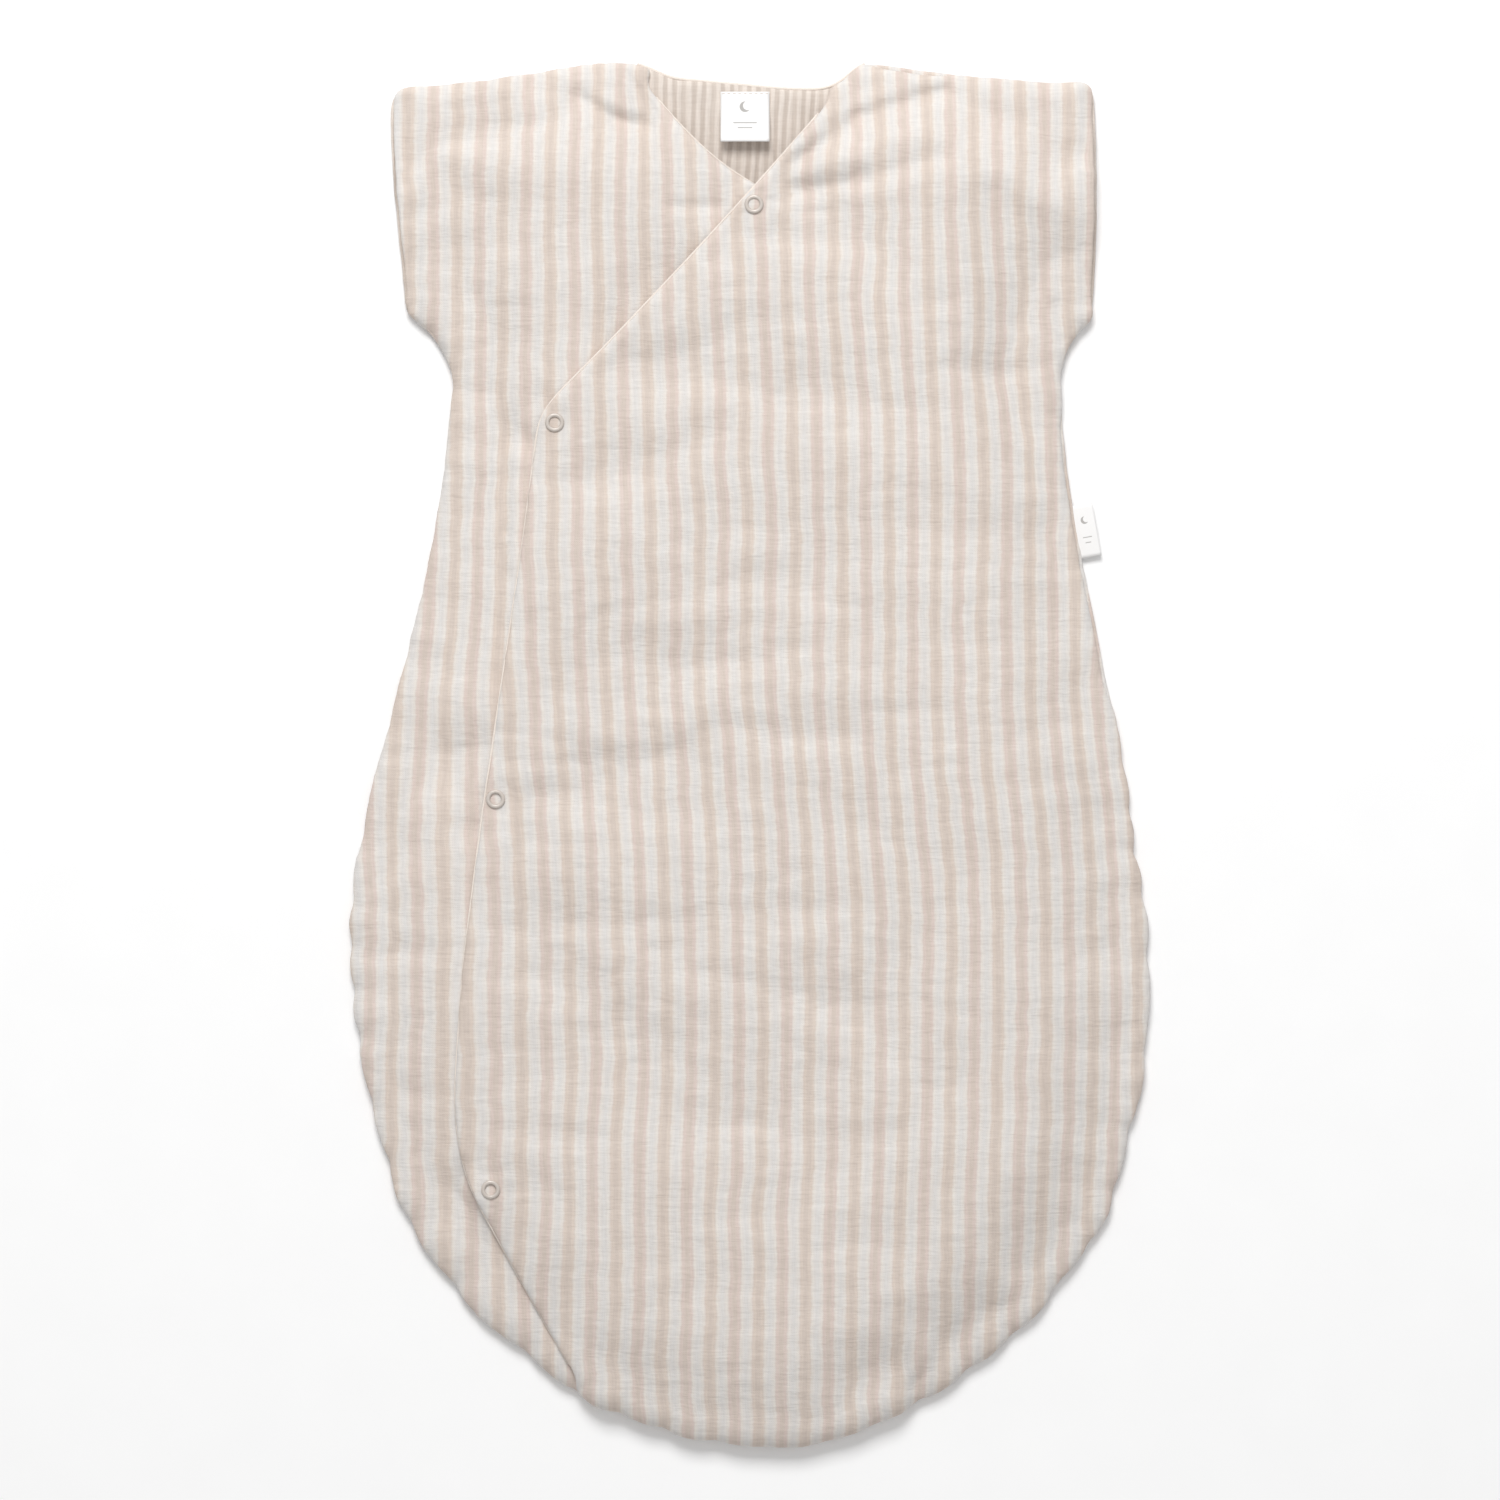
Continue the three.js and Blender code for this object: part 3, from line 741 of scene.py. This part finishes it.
class Nodes:
    """A small helper for wiring a node material."""

    def __init__(self, name):
        self.material = bpy.data.materials.new(name)
        self.material.use_nodes = True
        self.tree = self.material.node_tree
        self.shader = self.tree.nodes["Principled BSDF"]

    def put(self, socket, value):
        if isinstance(value, bpy.types.NodeSocket):
            self.tree.links.new(value, socket)
        else:
            socket.default_value = value

    def add(self, kind, *inputs, **settings):
        """A new node with its settings and its first inputs."""
        node = self.tree.nodes.new(kind)
        for key, value in settings.items():
            setattr(node, key, value)
        for socket, value in zip(node.inputs, inputs):
            self.put(socket, value)
        return node

    def math(self, operation, *terms):
        return self.add("ShaderNodeMath", *terms, operation=operation).outputs[0]

    def times(self, a, b):
        return self.math("MULTIPLY", a, b)

    def plus(self, a, b):
        return self.math("ADD", a, b)

    def minus(self, a, b):
        return self.math("SUBTRACT", a, b)

    def ramp(self, value, low, high, to_low=0.0, to_high=1.0):
        reach = (value, low, high, to_low, to_high)
        return self.add("ShaderNodeMapRange", *reach, interpolation_type="SMOOTHSTEP").outputs[0]

    def mix(self, factor, a, b, blend="MIX"):
        """Mixes two colours, each of them a socket or a tuple of sRGB values from 0 to 255."""
        node = self.add("ShaderNodeMix", factor, data_type="RGBA", blend_type=blend)
        for socket, colour in ((node.inputs[6], a), (node.inputs[7], b)):
            self.put(socket, linear(*colour) if isinstance(colour, tuple) else colour)
        return node.outputs[2]

    def noise(self, vector, grain, detail=2.0, roughness=0.5):
        """Noise from 0 to 1 with this many grains per metre, either everywhere or along X and along Y."""
        scale = (*grain, 1) if isinstance(grain, tuple) else (grain, grain, grain)
        node = self.add("ShaderNodeTexNoise")
        scaled = self.add("ShaderNodeVectorMath", vector, scale, operation="MULTIPLY")
        self.put(node.inputs["Vector"], scaled.outputs[0])
        node.inputs["Scale"].default_value = 1.0
        node.inputs["Detail"].default_value = detail
        node.inputs["Roughness"].default_value = roughness
        return node.outputs["Fac"]

    def plan(self):
        """Plan place in metres: the vector, its X and its Y."""
        uv = self.add("ShaderNodeUVMap", uv_map="Plan").outputs[0]
        split = self.add("ShaderNodeSeparateXYZ", uv)
        return uv, split.outputs[0], split.outputs[1]

    def bump(self, height, distance, strength=1.0):
        node = self.add("ShaderNodeBump")
        node.inputs["Distance"].default_value = distance
        node.inputs["Strength"].default_value = strength
        self.put(node.inputs["Height"], height)
        self.put(self.shader.inputs["Normal"], node.outputs[0])

    def finish(self, colour, roughness, sheen=0.0):
        self.put(self.shader.inputs["Base Color"], colour)
        self.put(self.shader.inputs["Roughness"], roughness)
        self.shader.inputs["Sheen Weight"].default_value = sheen
        self.shader.inputs["Specular IOR Level"].default_value = 0.2
        return self.material


def weave_height(n, uv):
    """Height of a plain weave, whose threads cross over and under each other and are uneven."""
    _, x, y = n.plan()
    turn = 2 * math.pi / THREAD_PITCH
    wander = n.times(n.noise(uv, (160, 160), 1.0), 2.6)
    warp = n.math("SINE", n.plus(n.times(x, turn), wander))
    weft = n.math("SINE", n.plus(n.times(y, turn), wander))
    return n.times(warp, weft)


def slubs(n, uv):
    """Uneven threads, short streaks along and across the bag, around 0.5."""
    across = n.noise(uv, (110, 900))
    along = n.noise(uv, (1000, 90))
    return n.times(n.plus(across, along), 0.5)


def muslin(n, uv, colour, dark_share, dark, relief, weave, slub, strength, sheen):
    """Finishes a muslin: darkens a share of its threads and adds its weave and slubs to the relief."""
    streaks = slubs(n, uv)
    colour = n.mix(n.ramp(streaks, 0.36, 0.64, 0.0, dark_share), colour, dark, "MULTIPLY")
    height = n.plus(relief, n.times(weave_height(n, uv), weave))
    n.bump(n.plus(height, n.times(streaks, slub)), 0.9 * MM, strength)
    return n.finish(colour, 0.93, sheen)


def shell_material():
    """Muslin with beige and off-white stripes along its length. Every other beige stripe is a little
    pinker, and cream threads edge the stripes."""
    n = Nodes("shell_stripes")
    uv, x, _ = n.plan()
    fuzz = n.times(n.minus(n.noise(uv, (120, 420)), 0.5), 1.3 * MM)
    place = n.plus(x, fuzz)
    phase = n.math("PINGPONG", n.math("DIVIDE", place, STRIPE), 0.5)
    dark = n.ramp(phase, 0.19, 0.31)
    pair = n.math("PINGPONG", n.plus(n.math("DIVIDE", place, 2 * STRIPE), 0.125), 0.5)
    pink = n.ramp(pair, 0.2, 0.3)
    core = n.ramp(phase, 0.36, 0.44)
    beige = n.mix(pink, (222, 209, 198), (222, 207, 199))
    beige = n.mix(core, beige, (216, 203, 193))
    light = n.mix(n.ramp(phase, 0.02, 0.16), (225, 222, 219), (230, 225, 220))
    colour = n.mix(dark, light, beige)
    from_border = n.math("ABSOLUTE", n.minus(phase, 0.2))
    cream = n.times(n.ramp(from_border, 0.05, 0.01), 0.22)
    colour = n.mix(cream, colour, (238, 229, 214))
    patchy = n.ramp(n.noise(uv, (26, 40), 4.0), 0.3, 0.7, 0.0, 0.10)
    colour = n.mix(patchy, colour, (205, 192, 184), "MULTIPLY")
    creases = n.times(n.noise(uv, (130, 330), 3.0, 0.6), 0.5)
    ridges = n.times(n.noise(uv, (40, 210)), 0.45)
    return muslin(n, uv, colour, 0.12, (186, 172, 164), n.plus(creases, ridges),
                  weave=0.035, slub=0.35, strength=0.9, sheen=0.1)


def lining_material():
    """Ribbed muslin lining: fine cream ribs along the bag, with painted shade in the beige grooves between
    them.
    """
    n = Nodes("lining_rib")
    uv, x, _ = n.plan()
    wobble = n.times(n.minus(n.noise(uv, (60, 14)), 0.5), 4.5 * MM)
    place = n.math("DIVIDE", n.plus(x, wobble), RIB)
    phase = n.math("PINGPONG", place, 0.5)
    # painted shade: the grooves, where the ribs' relief is lowest, are coloured a darker beige
    painted_groove_shade = n.ramp(phase, 0.14, 0.36)
    colour = n.mix(painted_groove_shade, (230, 220, 211), (208, 196, 186))
    every_third = n.math("PINGPONG", n.math("DIVIDE", place, 3.0), 0.5)
    colour = n.mix(n.ramp(every_third, 0.3, 0.42, 0.0, 0.4), colour, (222, 211, 201))
    rib = n.times(n.minus(0.5, phase), 1.3)
    return muslin(n, uv, colour, 0.15, (186, 172, 160), rib, weave=0.04, slub=0.4, strength=0.8, sheen=0.12)


def object_place(n):
    return n.add("ShaderNodeTexCoord").outputs["Object"]


def yarn_material(name, grain, share, colour, other, relief, roughness):
    """Cotton yarn flecked with a share of another colour. The grain is in flecks per metre."""
    n = Nodes(name)
    twist = n.noise(object_place(n), grain)
    mixed = n.mix(n.ramp(twist, 0.3, 0.7, 0.0, share), colour, other)
    n.bump(twist, relief, 0.5)
    return n.finish(mixed, roughness, 0.1)


def enamel_material(name, colour, worn):
    """Satin enamel over metal, a little worn."""
    n = Nodes(name)
    place = object_place(n)
    blotch = n.noise(place, 420, 3.0)
    mixed = n.mix(n.ramp(blotch, 0.35, 0.75, 0.0, 0.35), colour, worn)
    n.shader.inputs["Metallic"].default_value = 0.12
    n.bump(n.noise(place, 1500), 0.05 * MM, 0.4)
    n.finish(mixed, n.ramp(blotch, 0.2, 0.8, 0.32, 0.46))
    n.shader.inputs["Specular IOR Level"].default_value = 0.5
    return n.material


def label_material(name, width, length, size):
    """White satin tape with a small printed crescent and two plain bars, mapped from the label's middle."""
    n = Nodes(name)
    uv, x, y = n.plan()
    size = size * MM

    def inked(distance, reach, blur):
        """1 within a distance and 0 beyond it, with a blurred border."""
        return n.ramp(distance, reach + blur * MM, reach - blur * MM)

    def disc(cx, cy, radius):
        away = n.add("ShaderNodeVectorMath", uv, (cx, cy, 0), operation="DISTANCE")
        return inked(away.outputs["Value"], radius, 0.12)

    def bar(cy, half_width):
        across = inked(n.math("ABSOLUTE", x), half_width, 0.1)
        off = n.math("ABSOLUTE", n.minus(y, cy))
        return n.times(across, inked(off, 0.32 * size, 0.1))

    moon_y = 0.2 * length
    bite = disc(1.3 * size, moon_y + 0.6 * size, 2.3 * size)
    moon = n.math("MAXIMUM", n.minus(disc(0, moon_y, 2.7 * size), bite), 0.0)
    mark = n.math("MAXIMUM", moon, bar(-0.12 * length, 0.24 * width))
    mark = n.math("MAXIMUM", mark, bar(-0.22 * length, 0.15 * width))
    weave = n.math("SINE", n.times(n.plus(x, y), 2 * math.pi / (0.7 * MM)))
    satin = n.mix(n.ramp(weave, -1, 1, 0.0, 0.3), (247, 246, 245), (236, 235, 234))
    colour = n.mix(n.times(mark, 0.75), satin, (150, 146, 142))
    n.bump(n.plus(weave, n.noise(uv, (700, 700))), 0.04 * MM, 0.4)
    return n.finish(colour, 0.6, 0.05)


SHELL = shell_material()
LINING = lining_material()
PIPING = yarn_material("piping_cotton", 900, 0.3, (236, 227, 218), (218, 204, 193), 0.3 * MM, 0.88)
RING = enamel_material("snap_enamel", (206, 197, 189), (190, 180, 170))
INNER = enamel_material("snap_inner_enamel", (214, 208, 202), (196, 188, 180))
THREAD = yarn_material("sewing_thread", 2500, 1.0, (226, 216, 206), (242, 234, 226), 0.1 * MM, 0.7)


# ---- Panels ----
def wrinkle(sheet, slack, cap):
    """Wrinkles a sheet. The simulation moves no point further than the cap."""
    sheet.middle[:, 2] += soft_wrinkles(sheet)
    simulate(sheet, slack, cap)


def assign(piece, slot, body, *nodes):
    """Says which body a piece rides and which CAD nodes it stands for; the slot argument is not used. A piece
    that bends across a joint rides none, and one that is only seen stands for none."""
    if nodes:
        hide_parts(*nodes)
    if body:
        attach(piece, body)


def build_back():
    sheet = Sheet("back", resample(RIM, RIM_SPACING, closed=True), snapped=False)
    wrinkle(sheet, slack=0.004, cap=1.2 * MM)
    sheet.middle[:, 2] = np.maximum(sheet.middle[:, 2], sheet.thickness() / 2 + GROUND_GAP)
    panel = padded_panel(sheet, "back_panel", LINING, SHELL, crinkle_depth=0.5 * MM)
    assign(panel, "shell", "bag", "back_shell", "back_wadding", "back_lining")
    return sheet


def build_underlap(below):
    sheet = Sheet("underlap", panel_loop(UNDERLAP_EDGE), snapped=True)
    away = np.linalg.norm(sheet.plan / MM - NECK_ROLL, axis=1)
    sheet.middle += NECK_ROLL_MOVE * np.exp(-(away / 10) ** 2)[:, None]
    wrinkle(sheet, slack=0.008, cap=2.5 * MM)
    hold_at_snaps(sheet, [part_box(f"snap_{i}_stud")[0].z for i in range(1, 5)])
    lay_on(sheet, upper_surface(below))
    panel = padded_panel(sheet, "underlap_panel", SHELL, LINING, crinkle_depth=0.8 * MM)
    assign(panel, "shell", "bag", "underlap_shell", "underlap_wadding", "underlap_lining")
    return sheet


def bend_at_fold(piece):
    """Bakes the placement of a piece of the overlap into its mesh."""
    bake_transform(piece)


def build_overlap(below):
    sheet = Sheet("overlap", panel_loop(OVERLAP_EDGE), snapped=True)
    beyond = distance_beyond(sheet.plan, UNDERLAP_EDGE)
    sheet.middle[:, 2] -= LAP_DROP * smooth(-6 * MM, 16 * MM, beyond)
    sheet.middle[:, 2] += EDGE_LIFT * smooth(9 * MM, 0, distance_to(sheet.plan, OVERLAP_EDGE))
    wrinkle(sheet, slack=0.008, cap=2.5 * MM)
    hold_at_snaps(sheet, [low.z + CAP_SEAT for low, _ in SNAPS])
    for sheet_below in below:
        lay_on(sheet, upper_surface(sheet_below))
    panel = padded_panel(sheet, "overlap_panel", SHELL, LINING, crinkle_depth=0.8 * MM)
    layers = [f"{part}_{layer}" for part in ("overlap", "flap") for layer in ("shell", "wadding", "lining")]
    assign(panel, "shell", None, *layers)
    bend_at_fold(panel)
    return sheet


def distance_beyond(plan, edge):
    """How far each plan point lies beyond a front panel's free edge, or minus that inside the panel."""
    away = distance_to(plan, edge)
    return np.where(inside(plan, panel_loop(edge)), -away, away)


def edge_cord(name, sheet, edge, radius, stops_short=4):
    """A cord along a panel's edge, just outside its rim, that leaves out some points at each end."""
    path = edge[stops_short:-stops_short]
    along = np.gradient(path, axis=0)
    along /= np.linalg.norm(along, axis=1)[:, None]
    outside = np.stack([along[:, 1], -along[:, 0]], axis=1)
    border = sheet.middle[sheet.border]
    flat = sheet.plan[sheet.border]
    nearest = [np.linalg.norm(flat - point, axis=1).argmin() for point in path]
    heights = np.convolve(np.pad(border[nearest, 2], 2, mode="edge"), np.ones(5) / 5, "valid")
    shifted = border[nearest, :2] + outside * radius * 0.6
    return tube(name, relax(np.column_stack([shifted, heights]), 2), radius, 10, PIPING)


back = build_back()
underlap = build_underlap(back)
overlap = build_overlap((back, underlap))
underlap_piping = edge_cord("underlap_piping", underlap, UNDERLAP_EDGE, 0.35 * MM)
assign(underlap_piping, "piping", "bag", "underlap_edge_piping")
overlap_piping = edge_cord("overlap_piping", overlap, OVERLAP_EDGE, 0.55 * MM)
assign(overlap_piping, "piping", None, "flap_edge_piping")
bend_at_fold(overlap_piping)
neckline = rim_between(NECK_POINT, NECK_POINT * (-1, 1))
assign(edge_cord("back_neck_roll", back, neckline, 0.7 * MM, stops_short=1), "piping", "bag")
corner = UNDERLAP_EDGE[:11]  # the part at the neck
assign(edge_cord("neck_corner_roll", underlap, corner, 1.1 * MM, stops_short=1), "piping", "bag")


# ---- Snaps ----
# Profiles as (radius, height) in millimetres. A ring's flat side is at its foot. The socket and the stud
# are solid, so theirs start and end beside the axis.
RING_HEIGHT = 1.0
RING_PROFILE = [
    (2.7, 0.1), (2.8, 0.0), (4.6, 0.0), (4.75, 0.12), (4.75, 0.35), (4.55, 0.72), (4.2, 0.95), (3.75, 1.02),
    (3.3, 0.98), (2.95, 0.8), (2.7, 0.45),
]
SOCKET_PROFILE = [
    (0.05, -0.75), (2.45, -0.75), (2.55, -0.85), (2.55, -2.9), (2.65, -3.0), (3.1, -3.0), (3.3, -2.85),
    (3.5, -1.5), (3.7, -1.15), (4.6, -0.95), (4.75, -0.8), (4.75, -0.15), (4.6, 0.0), (0.05, 0.0),
]
STUD_PROFILE = [
    (0.05, 0.0), (4.6, 0.0), (4.75, 0.1), (4.75, 0.4), (4.6, 0.5), (2.2, 0.5), (1.85, 0.65), (1.8, 1.0),
    (2.05, 1.5), (2.1, 1.8), (1.95, 2.3), (1.6, 2.55), (1.2, 2.6), (0.05, 2.6),
]


def snap_part(node, name, body, profile, drop=None):
    """One turned part of a snap, on the foot of its CAD node or, given a drop, so many mm below its top."""
    low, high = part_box(node)
    base = low.z if drop is None else high.z - drop * MM
    centre = ((low.x + high.x) / 2, (low.y + high.y) / 2, base)
    ring = node.endswith("ring")
    part = lathe(name, profile, centre, RING if ring else INNER, hollow=ring)
    assign(part, "snap_ring" if ring else "snap_metal", body, node)


for number in range(1, 5):
    snap = f"snap_{number}_"
    snap_part(snap + "cap_ring", snap + "ring", "overlap_flap", RING_PROFILE, drop=RING_HEIGHT)
    snap_part(snap + "socket", snap + "socket_part", "overlap_flap", SOCKET_PROFILE, drop=0)
    snap_part(snap + "stud", snap + "stud_part", "bag", STUD_PROFILE)
    upside_down = [(radius, RING_HEIGHT - height) for radius, height in RING_PROFILE]
    snap_part(snap + "backing_ring", snap + "back_ring", "bag", upside_down)


# ---- Labels ----
def label_mesh(name, width, length, thick, bend, material, place):
    """A soft label: a thin closed sheet that bends gently. Its map runs from its middle, in metres."""
    steps = 15
    u, v = np.meshgrid(np.linspace(-0.5, 0.5, steps), np.linspace(-0.5, 0.5, steps))
    lift = bend(u, v)
    upper = np.dstack([u * width, v * length, lift + thick / 2])
    lower = np.dstack([u * width, v * length, lift - thick / 2])[:, ::-1]
    verts = np.concatenate([upper, lower], axis=1).reshape(-1, 3)
    around = 2 * steps
    ob = outward(new_object(name, verts, ring_faces(steps, around, False), [material]))
    underside = np.arange(len(verts)) % around >= steps
    tape = verts[:, :2] + np.outer(underside, [1.0, 0.0])  # the underside lies far from the print
    set_plan_map(ob, tape)
    ob.data.transform(place)
    return ob


def build_neck_label():
    width, length = LABEL_HIGH.x - LABEL_LOW.x, LABEL_HIGH.y - LABEL_LOW.y
    centre = (LABEL_LOW + LABEL_HIGH) / 2
    material = label_material("neck_label_satin", width, length, 1.0)

    def bend(u, v):
        return (6.5 * (0.5 - v) + 0.6 * np.cos(u * math.pi)) * (0.5 - v) * MM

    place = Matrix.Translation(centre)
    label = label_mesh("neck_label_tape", width, length, 0.4 * MM, bend, material, place)
    assign(label, "label", "neck_label", "neck_label")
    stitches(centre.x, LABEL_HIGH.y - 0.9 * MM, width, centre.z + 0.15 * MM)


def stitches(x, y, width, z):
    """A row of short stitches along the neck label's top edge."""
    count = 9
    for i in range(count):
        start = x - width / 2 + (i + 0.25) * width / count
        path = np.linspace([start, y, z], [start + 0.55 * width / count, y, z], 6)
        path[:, 2] += 0.25 * MM * np.sin(np.linspace(0, math.pi, 6))
        stitch = tube(f"neck_label_stitch_{i + 1}", path, 0.16 * MM, 6, THREAD)
        assign(stitch, "label", "neck_label")


def build_side_label():
    node = frame["nodes"]["side_label"].data
    corners = np.array([v.co for v in node.vertices])
    centre = (corners.min(0) + corners.max(0)) / 2
    joint = next(j for j in frame["joints"] if j["name"] == "side_label_flip")
    along = Vector(joint["axis"]) * -1  # up the seam
    across = along.cross(Vector((0, 0, 1)))
    local = (corners - centre) @ np.array([list(across), list(along)]).T
    width, length = local.max(0) - local.min(0)
    inside_seam = 1.2 * MM  # this much of the tape is caught in the seam
    turn = Matrix((across, along, Vector((0, 0, 1)))).transposed().to_4x4()
    place = Matrix.Translation(Vector(centre) - across * inside_seam / 2) @ turn
    material = label_material("side_label_satin", width, length, 0.7)

    def bend(u, v):
        return (0.4 * np.cos(v * math.pi) + 0.3 * (u + 0.5)) * MM

    label = label_mesh("side_label_tape", width + inside_seam, length, 0.5 * MM, bend, material, place)
    assign(label, "label", "side_label", "side_label")


build_neck_label()
build_side_label()


# ---- Stage, light and camera ----
AMBIENT = 0.42  # strength of the light that comes from all round
BACKDROP = 1.0  # brightness of the backdrop as the camera sees it
FAR_GLOW = 0.46  # the light the far parts of the floor give off


def build_floor():
    """A large sheet of white paper. Its far parts glow, to make up for the light's falloff there."""
    n = Nodes("floor_paper")
    place = object_place(n)
    n.finish(n.mix(n.noise(place, 30), (252, 252, 252), (255, 255, 255)), 0.9)
    away = n.add("ShaderNodeVectorMath", place, operation="LENGTH")
    n.shader.inputs["Emission Color"].default_value = (1, 1, 1, 1)
    n.put(n.shader.inputs["Emission Strength"], n.ramp(away.outputs["Value"], 0.7, 2.6, 0.0, FAR_GLOW))
    n.material.cycles.emission_sampling = "NONE"
    reach = 12.0
    corners = [(-reach, -reach, 0), (reach, -reach, 0), (reach, reach, 0), (-reach, reach, 0)]
    floor = new_object("floor", corners, [(0, 1, 2, 3)], [n.material], smooth_shading=False)


def area_light(name, place, size, power):
    """A square light that faces the middle of the bag."""
    light = bpy.data.lights.new(name, "AREA")
    light.shape = "SQUARE"
    light.size = size
    light.energy = power
    ob = bpy.data.objects.new(name, light)
    ob.location = place
    ob.rotation_euler = (-Vector(place)).to_track_quat("-Z", "Y").to_euler()
    bpy.context.scene.collection.objects.link(ob)


def build_light():
    world = bpy.data.worlds.new("studio")
    world.use_nodes = True
    nodes, links = world.node_tree.nodes, world.node_tree.links
    strength = nodes.new("ShaderNodeMapRange")
    strength.inputs["To Min"].default_value = AMBIENT
    strength.inputs["To Max"].default_value = BACKDROP
    links.new(nodes.new("ShaderNodeLightPath").outputs["Is Camera Ray"], strength.inputs["Value"])
    background = nodes["Background"]
    background.inputs["Color"].default_value = (1, 1, 1, 1)
    links.new(strength.outputs[0], background.inputs["Strength"])
    bpy.context.scene.world = world
    area_light("key", (-0.3, 2.28, 2.6), size=1.43, power=86)
    area_light("top", (0.3, -0.4, 2.6), size=2.4, power=9)


def build_camera():
    """Straight down on the bag from a long way off, with the frame 750 mm wide."""
    away, half_frame = 4.0, 0.375
    data = bpy.data.cameras.new("camera")
    data.sensor_width = 36
    data.lens = data.sensor_width / 2 * away / half_frame
    ob = bpy.data.objects.new("camera", data)
    ob.location = (0, 3.5 * MM, away + 15 * MM)
    bpy.context.scene.collection.objects.link(ob)
    bpy.context.scene.camera = ob


build_floor()
build_light()
build_camera()
bpy.context.scene.view_settings.view_transform = "Standard"
